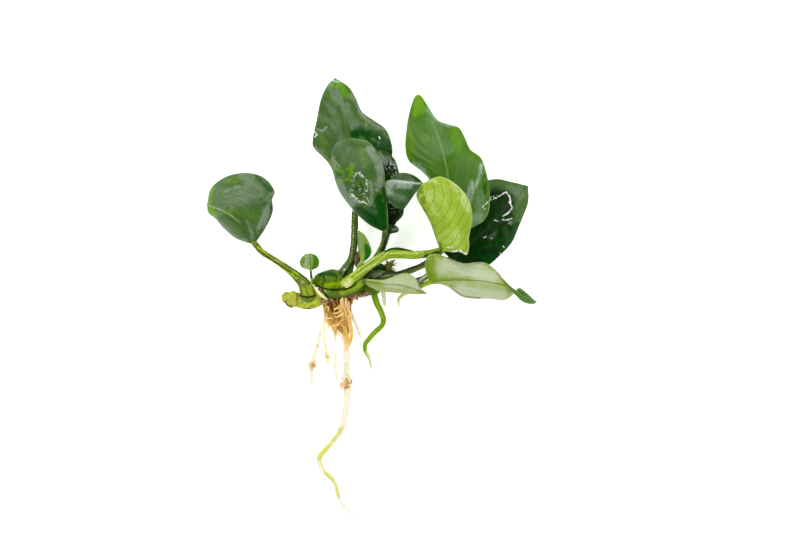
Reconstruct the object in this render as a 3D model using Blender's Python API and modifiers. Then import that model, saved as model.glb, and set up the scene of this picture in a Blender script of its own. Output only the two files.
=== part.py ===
"""A bare-root anubias plant, lying on a flat surface as if just lifted out of its tank.

A creeping rhizome carries twelve leaves, each a blade on a sheathed stalk, and a bundle of roots below.
The plant lies on its side: its top is towards +Y, its roots are towards -Y, and +Z is up off the surface.
The origin is on the small flat where the underside of the rhizome rests, at the height of the surface.
All places and sizes below are in millimetres.
"""
import bmesh
import bpy
from mathutils import Vector

MM = 0.001
GAP = 0.3                # clearance between pieces that touch
BLADE_THICKNESS = 0.8
THICKNESS_LIMIT = 0.8    # and no more than this share of a cell's side, where cells are small
BLADE_START = 0.7        # a stalk stops this far short of its blade
TIP_SHARE = 0.97         # margins stop at this share of their length, so a tip is rounded
BLADE_ALONG = 14         # cells from base to tip of a full blade
BLADE_ACROSS = 6
SMALL_ALONG = 6          # cells of a blade under about 20 mm
SMALL_ACROSS = 4
STALK_STEP = 3.2         # distance between the rings of a stalk
ROOT_STEP = 2.8
RHIZOME_STEP = 2.2
TUBE_RESOLUTION = 2      # eight sides
CURVE_SAMPLES = 10       # samples between two given points of a smooth line
FLOOR_BOX = 400.0        # the cutter that planes off what would pass through the surface

DARK_GREEN = (0.035, 0.12, 0.03)
MID_GREEN = (0.07, 0.19, 0.05)
BRIGHT_GREEN = (0.42, 0.58, 0.06)
PALE_GREEN = (0.52, 0.62, 0.36)
STALK_GREEN = (0.08, 0.17, 0.04)
STALK_LIME = (0.38, 0.52, 0.10)
RHIZOME_GREEN = (0.22, 0.34, 0.05)
ROOT_TAN = (0.62, 0.45, 0.24)
ROOT_CREAM = (0.75, 0.66, 0.45)
ROOT_GREEN = (0.20, 0.34, 0.05)
BRACT_BROWN = (0.24, 0.15, 0.07)

# Blades. Each has three lines from base to tip: the midrib and the two margins, left and right as seen from
# above while looking from base to tip. Each point is x, y, z. The bulges lift the middle of the left and of
# the right half, so a negative one hollows it.
BLADES = {
    "leaf_round_left": {
        "midrib": [(-36, 16.4, 12), (-38.8, 22, 13), (-44, 26.4, 12), (-49.2, 29.6, 8.5), (-55.2, 31.6, 1)],
        "left": [(-36.8, 16, 12), (-38.4, 16.4, 10), (-43.6, 18.4, 6), (-48, 22, 3.5), (-51.6, 26, 1.8),
                 (-54.6, 28.6, 0.8), (-55.2, 31.6, 1)],
        "right": [(-35, 17.4, 12), (-31.6, 22.4, 12), (-28.8, 28.8, 11), (-29, 33.8, 10), (-28, 36.8, 9.4),
                  (-30.4, 40.8, 8.6), (-34.4, 43.4, 7.8), (-40, 44.3, 7), (-47, 43, 5), (-53.4, 38.4, 2.5),
                  (-55.2, 31.6, 1)],
        "bulge": (1.0, 3.5), "colour": MID_GREEN},
    "leaf_bud_round": {
        "midrib": [(-13.6, 5.6, 10), (-13.8, 8.8, 11.2), (-14, 12.3, 11)],
        "left": [(-14.2, 5.7, 10), (-17.2, 6.8, 10.4), (-17.8, 9.2, 10.6), (-16.4, 11.4, 10.6), (-14, 12.3, 11)],
        "right": [(-13, 5.7, 10), (-10.8, 6.8, 9), (-10.2, 9.2, 9), (-11.6, 11.4, 9.6), (-14, 12.3, 11)],
        "bulge": (0.5, 0.5), "colour": STALK_LIME, "small": True},
    "leaf_tall_left": {
        "midrib": [(4.8, 32.4, 6), (4.4, 39.6, 7), (3.2, 49.6, 8.5), (1.6, 57.6, 9), (-0.4, 66.4, 8),
                   (-2.8, 74.8, 5), (-4, 82.4, 0.5)],
        "left": [(4, 32.6, 6), (-1.6, 37.6, 5.5), (-5.6, 46.8, 5), (-8.8, 50.8, 4), (-12.4, 54.4, 3),
                 (-12.8, 58, 3), (-11.2, 65.6, 3.5), (-9.6, 73.6, 2.5), (-6.8, 79.6, 1.2), (-4, 82.4, 0.5)],
        "right": [(5.6, 32.6, 6), (11.6, 36, 5), (16.4, 42.4, 4.2), (18.4, 49.6, 4.2), (18.8, 54.8, 4.6),
                  (16.4, 61.6, 5.5), (11.6, 65.2, 6), (6.8, 68.8, 5), (4, 74.8, 4), (1.2, 79, 2.6),
                  (-4, 82.4, 0.5)],
        "bulge": (1.2, 1.0), "colour": MID_GREEN},
    "leaf_shaded": {
        "midrib": [(18, 23.4, 8.5), (17.6, 28.8, 9.2), (16.8, 35.6, 10), (15.6, 43.6, 10.6), (14.4, 49.6, 10.2),
                   (13.2, 53.6, 9.4)],
        "left": [(17.2, 23.6, 8.5), (13.6, 28, 8.6), (10.4, 34.8, 9), (8.8, 42.4, 9.4), (8.8, 48.4, 9.4),
                 (10.4, 52.4, 9.3), (13.2, 53.6, 9.4)],
        "right": [(18.8, 23.6, 8.4), (21.6, 25.6, 8), (23.4, 28.4, 7.6), (23.2, 33.6, 7.4), (22.4, 38.8, 7.6),
                  (21.6, 44.4, 8.4), (19.6, 50, 9), (15.8, 53, 9.2), (13.2, 53.6, 9.4)],
        "bulge": (0.6, 0.3), "colour": DARK_GREEN},
    "leaf_front_left": {
        "midrib": [(16, 20.8, 15), (14.4, 27.6, 18.5), (11.6, 35.2, 22), (8.8, 42.4, 24.5), (5.6, 49.6, 25.5),
                   (3.4, 54.8, 24.5), (2.2, 57.6, 21.6), (2.4, 57.2, 18.6)],
        "left": [(15.2, 21, 15), (10, 23.6, 14), (4.8, 28, 13.5), (-0.8, 34.8, 14), (-3.2, 39.6, 15),
                 (-4.8, 45.6, 17), (-5.2, 49.6, 18.5), (-4.4, 54, 19.2), (-1.6, 57.2, 19), (2.4, 57.2, 18.2)],
        "right": [(16.8, 21, 15), (17.2, 25, 15.8), (16.8, 31.6, 18), (16, 37.6, 19.6), (15.8, 43.6, 21),
                  (14.8, 48.8, 22), (12.8, 52.8, 21.6), (10.2, 55.8, 20.4), (7.4, 57.4, 19.2), (2.4, 57.2, 18.2)],
        "bulge": (1.8, 1.0), "colour": MID_GREEN},
    "leaf_cupped": {
        "midrib": [(23.2, 30, 12), (25.6, 33.2, 13.2), (28, 36.6, 14.5), (31.4, 39.8, 15)],
        "left": [(22.6, 30, 12.4), (20, 30.8, 14.2), (17.2, 34, 15.6), (15.9, 38, 16.2), (16.4, 40.8, 17.4),
                 (18.8, 41.4, 19), (22.8, 41.2, 20), (26.8, 40.6, 19), (29.6, 40, 17), (31.4, 39.8, 15)],
        "right": [(23.8, 30.6, 10.6), (21.6, 32.6, 10.8), (19.4, 35.6, 11.4), (18, 38.8, 12.2), (18.2, 41.8, 13),
                  (20.2, 43.6, 13.8), (23.6, 44.3, 14.4), (27.2, 43.4, 14.8), (29.8, 41.6, 14.8), (31.4, 39.8, 15)],
        "bulge": (1.6, -0.8), "colour": PALE_GREEN},
    "leaf_tall_right": {
        "midrib": [(42.8, 18.4, 11), (42.4, 25.6, 12.4), (42, 33.6, 13.6), (41.2, 42.4, 14.2), (39.6, 50.4, 13.6),
                   (37.2, 58.4, 11), (34, 67.2, 6.2), (29.4, 75.8, 0.5)],
        "left": [(42, 18.6, 11), (38.4, 22.4, 10.4), (35.2, 28.8, 10), (34, 35.6, 10), (33.6, 41.6, 9.6),
                 (30.4, 45.2, 8.8), (25.6, 49.2, 7.5), (24.2, 54.4, 6.8), (24.6, 61.6, 6), (25.6, 67.6, 4.4),
                 (27.2, 73.2, 1.8), (29.4, 75.8, 0.5)],
        "right": [(43.6, 18.6, 11), (47.2, 20.4, 10.8), (51.2, 22.8, 10.6), (55.2, 25.2, 10.6), (57.4, 29.6, 10.6),
                  (57.6, 36.8, 11), (56.6, 43.2, 11.4), (54.4, 50, 11.4), (50, 53.6, 11), (47.8, 58.4, 10.4),
                  (45.6, 62.2, 9.4), (42, 63.5, 8.4), (37.2, 65.2, 7), (33.2, 70.8, 4), (29.4, 75.8, 0.5)],
        "bulge": (0.8, 0.8), "colour": MID_GREEN},
    "leaf_pale_raised": {
        "midrib": [(38.6, 13.6, 18.2), (37, 17.6, 21), (34.4, 24.8, 24), (31.2, 30.4, 25.5), (28.9, 35, 25.5),
                   (30.4, 39.4, 24.5)],
        "left": [(38.8, 14.2, 17.6), (43, 15, 17), (46.6, 20, 17), (47.4, 27, 17.2), (45.4, 34, 17.8),
                 (40.6, 39.2, 19), (35, 40.6, 21.6), (30.4, 39.4, 24.5)],
        "right": [(39.2, 13.2, 18.8), (42.8, 12.8, 20), (46, 13, 21), (48.4, 11.6, 21.4), (49.4, 15.2, 22),
                  (49.3, 18.8, 22.4), (50.6, 25.6, 23), (50, 31.2, 23.6), (47.6, 36, 24), (43.2, 40.2, 24.4),
                  (38.4, 42.5, 24.8), (34.4, 41.6, 24.6), (30.4, 39.4, 24.5)],
        "bulge": (-0.5, 3.0), "colour": BRIGHT_GREEN},
    "leaf_dark_right": {
        "midrib": [(44.4, 11.2, 7.5), (49.2, 15.2, 8.2), (54, 19.6, 8.2), (58.8, 24.4, 7.4), (64, 30, 5.4),
                   (68.8, 34.8, 3), (73.2, 39.2, 0.5)],
        "left": [(44, 12, 7.3), (43.6, 15.6, 6.4), (44.4, 21.6, 5.4), (46, 28, 4.8), (48.4, 33.6, 4.2),
                 (51.6, 37.6, 3.6), (55.6, 40.8, 2.8), (60.8, 41.9, 2.2), (66, 40.9, 2), (73.2, 39.2, 0.5)],
        "right": [(45.2, 10.8, 7.3), (48.4, 7.6, 6), (53.2, 6.4, 5), (57.4, 7.6, 4), (62, 11.6, 3),
                  (65.2, 14.8, 2.2), (67.2, 17.6, 1.6), (69.2, 22.4, 1), (71.2, 27.2, 0.7), (73.2, 33, 0.5),
                  (73.2, 39.2, 0.5)],
        "bulge": (0.6, 1.6), "colour": DARK_GREEN},
    "leaf_twisted_right": {
        "midrib": [(34, 0.8, 14.6), (39.2, 1.6, 16), (46, 1.8, 17), (54, 1.4, 16.8), (60, 0.4, 15.2),
                   (64.8, -0.8, 12.8), (69.2, -3.2, 9), (73.2, -5.6, 5), (76.8, -7, 0.5)],
        "left": [(33.4, 1.8, 14.8), (32, 6.4, 17.6), (32.8, 10.8, 19.8), (36, 12, 20.2), (40, 10.9, 18.6),
                 (46.8, 8.3, 14.6), (52, 8.6, 14), (56.4, 8.2, 13.8), (61.2, 4.4, 13.4), (64.4, -0.4, 14.2),
                 (67.6, -4, 12), (71.2, -7.2, 7.4), (75.2, -8, 2.4), (76.8, -7, 0.5)],
        "right": [(34.6, 0, 14.4), (38, 0, 14.8), (41.6, -1.4, 14.4), (46.8, -5, 12.8), (52, -5.8, 12.2),
                  (58, -5.8, 11.6), (63.2, -6.4, 10), (66.6, -4.6, 8.6), (69.4, -1.6, 7.4), (72.6, -3.6, 4.8),
                  (75.4, -6.2, 2), (76.8, -7, 0.5)],
        "bulge": (1.0, 1.0), "colour": PALE_GREEN},
    "leaf_low_middle": {
        "midrib": [(7.6, 1.2, 11.8), (12, 0.6, 12.8), (17.2, 0, 13.8), (22, -0.4, 14.4), (26.8, -1.6, 14.6),
                   (32.8, -3.8, 13)],
        "left": [(7.6, 2, 11.8), (11.2, 1.8, 12.2), (15.2, 1.6, 13), (19.2, 2.8, 13.4), (23.2, 4.2, 13.6),
                 (26.4, 3.7, 14), (28.5, 1.8, 14.2), (29.9, -1.4, 14), (32.8, -3.8, 13)],
        "right": [(7.8, 0.4, 11.6), (10.8, -1.4, 11.8), (14.8, -2.8, 12.2), (20, -3.4, 12.4), (25.2, -3.8, 12.6),
                  (29.2, -4, 12.8), (32.8, -3.8, 13)],
        "bulge": (0.5, 0.4), "colour": PALE_GREEN},
    "leaf_young": {
        "midrib": [(7.2, 8.9, 12.6), (7.6, 12.8, 14), (7.2, 16.4, 15), (6, 19.4, 15.4), (5, 21.6, 15.4)],
        "left": [(6.4, 9.2, 12.6), (5.6, 12.8, 13.5), (5.2, 16.4, 14.3), (4.9, 19.6, 15), (5, 21.6, 15.4)],
        "right": [(8.2, 9.4, 12.8), (9.8, 10.8, 13.6), (10.6, 13.2, 13.8), (9.6, 16.4, 14), (7.6, 19.8, 14.8),
                  (5, 21.6, 15.4)],
        "bulge": (0.3, 0.5), "colour": MID_GREEN, "small": True},
    "bract_brown": {
        "midrib": [(5, 6.8, 9), (4.9, 9, 9.8), (5.2, 11.4, 10.6), (5.6, 13.6, 11.2)],
        "left": [(4.4, 6.9, 8.8), (3.8, 9, 9.4), (4.2, 11.4, 10.2), (5.6, 13.6, 11.2)],
        "right": [(5.6, 6.9, 8.8), (6, 9, 9.4), (6.2, 11.4, 10.2), (5.6, 13.6, 11.2)],
        "bulge": (0.3, 0.3), "colour": BRACT_BROWN, "small": True},
    "bract_grey": {
        "midrib": [(17, 20.2, 12), (18.6, 21.3, 12.8), (20.2, 22, 13), (21.6, 22, 12.4)],
        "left": [(16.8, 20.9, 12), (18, 22.4, 12.6), (20, 23.3, 12.6), (21.6, 22, 12.4)],
        "right": [(17.4, 19.8, 12), (19.2, 20.3, 12.6), (21, 20.8, 12.6), (21.6, 22, 12.4)],
        "bulge": (0.3, 0.3), "colour": STALK_GREEN, "small": True},
}

# Round pieces: each point is x, y, z and the radius there. A piece grows out of the ones that it names, and
# is cut clear of them.
TUBES = {
    "rhizome_main": {
        "path": [(-11.6, 0.4, 3.4, 1.8), (-10, 1.2, 3.6, 2.9), (-7.6, 1.6, 3.8, 3.7), (-5.2, 1.8, 3.9, 4.1),
                 (-2.8, 1.2, 3.7, 3.8), (0.4, 0.2, 3.5, 4.1), (3, -0.6, 3.4, 3.8), (5.6, -1.2, 3.4, 4.0),
                 (8.4, -1.2, 3.3, 3.5), (10.8, -0.6, 3.2, 3.8), (13.4, 0.6, 3.1, 3.3), (15.6, 1.8, 3.0, 3.0),
                 (18.4, 3.0, 2.8, 2.2)],
        "step": RHIZOME_STEP, "colour": RHIZOME_GREEN},
    "rhizome_branch": {
        "path": [(-23, -5.4, 3.4, 2.4), (-22, -5.8, 3.4, 3.4), (-20.4, -6.2, 3.3, 3.4), (-18.6, -6.6, 3, 2.6),
                 (-16.4, -7.2, 2.9, 2.8), (-13.6, -7.2, 2.9, 2.9), (-11, -6.2, 2.9, 2.7), (-8.6, -4, 3, 2.4)],
        "from": ["rhizome_main"], "step": RHIZOME_STEP, "colour": RHIZOME_GREEN},
    "stalk_round_left": {
        "path": [(-14.6, -4.8, 4.2, 3.2), (-15.2, -2, 5.2, 3.0), (-17, 1, 6.8, 2.3), (-20.4, 4.2, 8.2, 1.7),
                 (-24.6, 7.4, 9.5, 1.35), (-29.2, 10.4, 10.8, 1.2), (-33.2, 13, 11.6, 1.2), (-36, 16.4, 12, 1.2)],
        "from": ["rhizome_branch"], "step": STALK_STEP, "colour": STALK_GREEN, "blade": True},
    "stalk_bud_round": {
        "path": [(-14.4, -2.4, 6, 0.8), (-13.2, 0.2, 8.4, 0.6), (-13.3, 2.8, 9.4, 0.5), (-13.6, 5.6, 10, 0.5)],
        "from": ["stalk_round_left"], "step": 1.6, "colour": STALK_LIME, "blade": True},
    "stalk_tall_left": {
        "path": [(0.2, 2, 5, 2.2), (1, 4.8, 6.6, 2.1), (2.4, 8.8, 7.2, 1.7), (3.4, 13.6, 7.2, 1.45),
                 (3.9, 19.6, 7, 1.35), (4, 27.6, 6.4, 1.3), (4.8, 32.4, 6, 1.1)],
        "from": ["rhizome_main", "stalk_pale_raised"], "step": STALK_STEP, "colour": STALK_GREEN, "blade": True},
    "stalk_shaded": {
        "path": [(11, 1.2, 3.2, 1.4), (12.4, 6.4, 3.4, 1.1), (14.4, 12, 4, 1.1), (16.4, 17.6, 5.5, 1.0),
                 (18, 23.4, 8.4, 0.9)],
        "from": ["rhizome_main"], "step": STALK_STEP, "colour": STALK_GREEN, "blade": True},
    "stalk_front_left": {
        "path": [(4.6, 1.6, 5.2, 1.6), (8.4, 6.4, 7.6, 1.45), (11.6, 9.2, 8.8, 1.4), (14, 12.8, 10.2, 1.4),
                 (15.6, 16.8, 12.2, 1.3), (16, 20.8, 15, 1.1)],
        "from": ["rhizome_main"], "step": STALK_STEP, "colour": STALK_GREEN, "blade": True},
    "stalk_cupped": {
        "path": [(7, 1.2, 3.8, 0.8), (9.4, 6, 4.2, 0.7), (12.6, 11, 6.4, 0.65), (15.2, 15.6, 8.2, 0.6),
                 (17.6, 20.4, 10, 0.55), (19.4, 23.6, 11, 0.55), (21.2, 26.8, 11.4, 0.55), (23.2, 30, 12, 0.5)],
        "from": ["rhizome_main"], "step": STALK_STEP, "colour": STALK_GREEN, "blade": True},
    "stalk_tall_right": {
        "path": [(12.6, 1.2, 4.8, 1.6), (16, 3.6, 7.2, 1.4), (21.2, 3.8, 8, 1.3), (26.4, 5.5, 8.6, 1.3),
                 (31.6, 7.8, 9.3, 1.25), (37.2, 12, 10.2, 1.2), (41.2, 15.2, 10.8, 1.1), (42.8, 18.4, 11, 1.1)],
        "from": ["rhizome_main"], "step": STALK_STEP, "colour": STALK_GREEN, "blade": True},
    "stalk_pale_raised": {
        "path": [(0, 0.2, 8.6, 2.0), (2, 1.2, 9.8, 2.4), (4, 2.8, 10.5, 2.1), (6.9, 5.2, 11.3, 1.9),
                 (12, 9, 12.6, 1.85), (16.8, 11.7, 13.6, 1.75), (22, 11.9, 14.4, 1.7), (28, 11.6, 15, 1.65),
                 (34, 12.2, 16, 1.5), (38.6, 13.6, 18.2, 1.3)],
        "from": ["rhizome_main"], "step": STALK_STEP, "colour": STALK_LIME, "blade": True},
    "stalk_dark_right": {
        "path": [(14.4, 0.6, 4.2, 1.4), (18, -0.2, 4.8, 1.3), (22, 0, 4.8, 1.2), (28, 1.2, 5.2, 1.2),
                 (31.6, 2.4, 5.7, 1.2), (34.8, 4.8, 6.2, 1.2), (40, 8.8, 7, 1.2), (44.4, 11.2, 7.5, 1.1)],
        "from": ["rhizome_main"], "step": STALK_STEP, "colour": STALK_GREEN, "blade": True},
    "stalk_twisted_right": {
        "path": [(12.6, -1.4, 5, 1.5), (17.2, -1.2, 8, 1.3), (22, -1.4, 9, 1.2), (26.8, -1.6, 9.8, 1.2),
                 (30.4, -0.6, 11.4, 1.15), (34, 0.8, 14.6, 1.1)],
        "from": ["rhizome_main"], "step": STALK_STEP, "colour": STALK_LIME, "blade": True},
    "stalk_low_middle": {
        "path": [(-8.6, -2.6, 4.2, 1.6), (-5.2, -4.2, 5, 1.6), (-1.2, -4, 6.4, 1.6), (2, -3, 7.8, 1.5),
                 (4.8, -1.2, 9.6, 1.4), (6.4, 0.2, 10.9, 1.3), (7.6, 1.2, 11.8, 1.1)],
        "from": ["rhizome_main", "rhizome_branch", "stalk_pale_raised"], "step": 2.4, "colour": STALK_LIME,
        "blade": True},
    "stalk_young": {
        "path": [(5.4, 4.6, 10.6, 0.9), (5.5, 6.8, 11, 0.8), (6.2, 8, 11.6, 0.8), (7.2, 8.9, 12.6, 0.7)],
        "from": ["stalk_pale_raised"], "step": 1.6, "colour": STALK_LIME, "blade": True},
    "bract_dried": {
        "path": [(15.2, 3, 2.4, 1.2), (16.6, 6.6, 3.8, 1.2), (18.2, 8, 4.6, 1.0), (19.8, 9.6, 5.4, 0.3)],
        "from": ["rhizome_main", "stalk_tall_right"], "step": 1.8, "colour": BRACT_BROWN},
    "root_long": {
        "path": [(0, -14, 3, 1.5), (0.4, -24.4, 1.75, 1.5), (0.8, -32.4, 1.55, 1.45), (0.6, -39.6, 1.75, 1.7),
                 (0.8, -46.4, 1.5, 1.4), (0, -52.4, 1.45, 1.35), (-1.2, -57.2, 1.35, 1.25), (-3.6, -61.6, 1.25, 1.15),
                 (-6.8, -65.2, 1.15, 1.1), (-9.6, -68.4, 1.15, 1.05), (-10.4, -70.8, 1.15, 1.05),
                 (-8.8, -74.4, 1.1, 1), (-5.6, -77.4, 1, 0.95), (-3.6, -80.4, 0.95, 0.9), (-2.8, -84.4, 0.9, 0.85),
                 (-1.2, -87.6, 0.8, 0.7), (1.2, -90.4, 0.6, 0.5), (3.6, -92.8, 0.4, 0.3)],
        "from": ["root_crown"], "step": ROOT_STEP, "colour": ROOT_CREAM},
    "root_green": {
        "path": [(11.2, -2, 3.6, 1.2), (12, -5.2, 3.6, 1.25), (12.8, -8, 2.8, 1.2), (14.4, -11.2, 2, 1.15),
                 (15.4, -14.4, 1.4, 1.1), (14.6, -16.8, 1.2, 1.05), (12, -19.2, 1.15, 1.05), (9.6, -22, 1.1, 1),
                 (8.1, -24, 1.1, 0.95), (8, -26, 1, 0.9), (9.2, -28.8, 0.8, 0.75), (10, -31.2, 0.6, 0.5),
                 (10.6, -34, 0.35, 0.25)],
        "from": ["rhizome_main"], "step": 2.2, "colour": ROOT_GREEN},
    "root_pale_left": {
        "path": [(-7, -15, 2.4, 1.1), (-7.6, -20, 1.4, 1.1), (-7.4, -24.4, 1.2, 1.05), (-7.2, -28, 1.1, 0.9),
                 (-6.8, -32, 0.7, 0.5)],
        "from": ["root_crown"], "step": ROOT_STEP, "colour": ROOT_CREAM},
    "root_far_left": {
        "path": [(-8, -12, 2, 0.8), (-10, -19.6, 0.9, 0.7), (-11, -24.4, 0.8, 0.7), (-12.4, -28.8, 0.8, 0.7),
                 (-13.2, -32.8, 1.3, 1.3), (-13.3, -35, 0.8, 0.7), (-13.2, -40, 0.5, 0.4)],
        "from": ["root_crown"], "step": ROOT_STEP, "colour": ROOT_CREAM},
    "root_middle": {
        "path": [(-4, -17, 2, 0.9), (-4.4, -24.4, 1, 0.9), (-4, -31.2, 0.9, 0.8), (-3.2, -38.4, 0.5, 0.4)],
        "from": ["root_crown"], "step": ROOT_STEP, "colour": ROOT_CREAM},
    "root_right_thin": {
        "path": [(1, -9, 2.4, 0.8), (4.2, -15.6, 1.1, 0.7), (5.6, -19.6, 0.8, 0.6), (6.4, -21.4, 0.5, 0.4)],
        "from": ["root_crown"], "step": ROOT_STEP, "colour": ROOT_CREAM},
    "root_right_short": {
        "path": [(14.6, -0.4, 2.4, 0.9), (15.6, -5.2, 1.6, 0.85), (15.9, -8.4, 0.9, 0.6)],
        "from": ["rhizome_main"], "step": ROOT_STEP, "colour": ROOT_TAN},
    "root_hook_right": {
        "path": [(16.6, 2.2, 2.2, 0.9), (21, -1.4, 1.4, 0.8), (24.8, -3.4, 1.2, 0.8), (23, -4.6, 1, 0.8),
                 (21.4, -6.4, 0.9, 0.7), (21.6, -8.8, 0.5, 0.35)],
        "from": ["rhizome_main"], "step": 1.8, "colour": ROOT_CREAM},
    "root_strand": {
        "path": [(-12.6, -0.4, 6.4, 0.4), (-11, -2.8, 7, 0.6), (-9.2, -4.6, 7.1, 0.6), (-7.4, -6, 6.4, 0.4)],
        "step": 1.8, "colour": ROOT_CREAM},
}

# The bundle of brown root fibres below the rhizome: a flattened, tapering lump.
CROWN_MIDDLE = Vector((-2.9, -12.4, 3.2))
CROWN_HALF = Vector((6.8, 10.4, 3.1))
CROWN_TAPER = 0.45       # how much narrower the lower end is
CROWN_FULLNESS = 0.2     # how much it keeps its width towards its ends
CROWN_LEAN = 1.6         # how far its lower end leans towards +X
CROWN_SIDES = 14
CROWN_RINGS = 9
CROWN_FROM = ["rhizome_main", "rhizome_branch", "stalk_low_middle", "root_strand", "root_green"]


def clear_scene():
    """Take away whatever the open file holds."""
    for obj in list(bpy.data.objects):
        bpy.data.objects.remove(obj, do_unlink=True)


def new_collection(name):
    collection = bpy.data.collections.new(name)
    bpy.context.scene.collection.children.link(collection)
    return collection


def smooth_line(points):
    """Sample a smooth line through the given points, with each sample's distance along it."""
    knots = [Vector(p) for p in points]
    samples = []
    for i in range(len(knots) - 1):
        start, end = knots[i], knots[i + 1]
        before = knots[i - 1] if i else start * 2 - end
        after = knots[i + 2] if i + 2 < len(knots) else end * 2 - start
        leave = (end - before) * 0.5
        arrive = (after - start) * 0.5
        for step in range(CURVE_SAMPLES):
            t = step / CURVE_SAMPLES
            samples.append(start * (2 * t**3 - 3 * t**2 + 1) + leave * (t**3 - 2 * t**2 + t)
                           + end * (3 * t**2 - 2 * t**3) + arrive * (t**3 - t**2))
    samples.append(knots[-1])
    distances = [0.0]
    for a, b in zip(samples, samples[1:]):
        distances.append(distances[-1] + (b - a).length)
    return samples, distances


def along(line, share):
    """The place at a share of the way along a sampled line."""
    samples, distances = line
    wanted = share * distances[-1]
    for i in range(1, len(samples)):
        if distances[i] >= wanted:
            span = distances[i] - distances[i - 1]
            return samples[i - 1].lerp(samples[i], (wanted - distances[i - 1]) / span)
    return samples[-1]


def give_material(obj, colour):
    """Each piece has a finish of its own: wet, waxy and not metallic."""
    material = bpy.data.materials.new(obj.name + "_finish")
    material.use_nodes = True
    shader = material.node_tree.nodes["Principled BSDF"]
    shader.inputs["Base Color"].default_value = (*colour, 1.0)
    shader.inputs["Roughness"].default_value = 0.35
    shader.inputs["Metallic"].default_value = 0.0
    obj.data.materials.append(material)


def mesh_object(name, bm, collection):
    """Turn a bmesh in millimetres into a smooth-shaded object in metres."""
    bmesh.ops.scale(bm, vec=(MM, MM, MM), verts=bm.verts)
    mesh = bpy.data.meshes.new(name)
    bm.to_mesh(mesh)
    bm.free()
    mesh.shade_smooth()
    obj = bpy.data.objects.new(name, mesh)
    collection.objects.link(obj)
    return obj


def blade(name, spec, collection):
    """A leaf blade: a sheet lofted between its midrib and its two margins, then given its thickness."""
    midrib, left, right = (smooth_line(spec[key]) for key in ("midrib", "left", "right"))
    cells_along = SMALL_ALONG if spec.get("small") else BLADE_ALONG
    cells_across = SMALL_ACROSS if spec.get("small") else BLADE_ACROSS
    bm = bmesh.new()
    bmesh.ops.create_grid(bm, x_segments=cells_along, y_segments=cells_across, size=1.0)
    for vert in bm.verts:
        share = (vert.co.x + 1) / 2
        out = abs(vert.co.y)
        on_left = vert.co.y > 0
        edge = along(left if on_left else right, share * TIP_SHARE)
        bulge = spec["bulge"][0 if on_left else 1] * 4 * out * (1 - out) * (4 * share * (1 - share)) ** 0.6
        vert.co = along(midrib, share).lerp(edge, out) + Vector((0, 0, bulge))
    obj = mesh_object(name, bm, collection)
    thickness = obj.modifiers.new("thickness", "SOLIDIFY")
    thickness.thickness = BLADE_THICKNESS * MM
    thickness.offset = 0.0
    thickness.thickness_clamp = THICKNESS_LIMIT
    thickness.use_thickness_angle_clamp = True
    give_material(obj, spec["colour"])
    return obj


def tube(name, spec, collection, grow=0.0):
    """A round stalk, root or stem: a curve with a radius at each point, made a closed mesh."""
    line = smooth_line(spec["path"])
    length = line[1][-1]
    end = 1 - BLADE_START / length if spec.get("blade") else 1.0
    rings = max(3, round(length / spec["step"]))
    places = [along(line, end * i / rings) for i in range(rings + 1)]
    places[0] += (places[0] - places[1]).normalized() * grow
    places[-1] += (places[-1] - places[-2]).normalized() * grow
    curve = bpy.data.curves.new(name, "CURVE")
    curve.dimensions = "3D"
    curve.bevel_depth = MM
    curve.bevel_resolution = TUBE_RESOLUTION
    curve.use_fill_caps = True
    spline = curve.splines.new("POLY")
    spline.points.add(rings)
    for point, (x, y, z, radius) in zip(spline.points, places):
        point.co = (x * MM, y * MM, z * MM, 1)
        point.radius = radius + grow
    return closed_mesh(name, curve, collection)


def closed_mesh(name, curve, collection):
    """Replace a curve by a mesh of it, with the end caps welded on."""
    drawn = bpy.data.objects.new(name + "_line", curve)
    collection.objects.link(drawn)
    bpy.context.view_layer.update()
    mesh = bpy.data.meshes.new_from_object(drawn.evaluated_get(bpy.context.evaluated_depsgraph_get()))
    bm = bmesh.new()
    bm.from_mesh(mesh)
    bmesh.ops.remove_doubles(bm, verts=bm.verts, dist=1e-6)
    bmesh.ops.recalc_face_normals(bm, faces=bm.faces)
    bm.to_mesh(mesh)
    bm.free()
    mesh.name = name
    mesh.shade_smooth()
    obj = bpy.data.objects.new(name, mesh)
    obj.matrix_world = drawn.matrix_world
    collection.objects.link(obj)
    bpy.data.objects.remove(drawn, do_unlink=True)
    return obj


def crown(name, collection, grow=0.0):
    """The flattened bundle of fibres: a ball drawn out along the roots and narrowed at their end."""
    bm = bmesh.new()
    bmesh.ops.create_uvsphere(bm, u_segments=CROWN_SIDES, v_segments=CROWN_RINGS, radius=1.0)
    for vert in bm.verts:
        across, depth, lengthways = vert.co
        narrow = 1 - CROWN_TAPER * (1 - lengthways) / 2
        narrow /= max(1 - lengthways**2, 0.02) ** CROWN_FULLNESS
        half = CROWN_HALF + Vector((grow, grow, grow))
        sideways = across * half.x * narrow + CROWN_LEAN * (1 - lengthways) / 2
        vert.co = CROWN_MIDDLE + Vector((sideways, lengthways * half.y, depth * half.z))
    bmesh.ops.recalc_face_normals(bm, faces=bm.faces)
    return mesh_object(name, bm, collection)


def make_cutter(obj):
    obj.hide_render = True
    obj.display_type = "WIRE"
    return obj


def floor_cutter(collection):
    """A block whose top is the surface that the plant lies on."""
    bm = bmesh.new()
    bmesh.ops.create_cube(bm, size=FLOOR_BOX)
    bmesh.ops.translate(bm, vec=(0, 0, -FLOOR_BOX / 2), verts=bm.verts)
    return make_cutter(mesh_object("surface_cutter", bm, collection))


def cut(obj, cutters):
    for cutter in cutters:
        difference = obj.modifiers.new("clear_of_" + cutter.name, "BOOLEAN")
        difference.operation = "DIFFERENCE"
        difference.object = cutter


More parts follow.
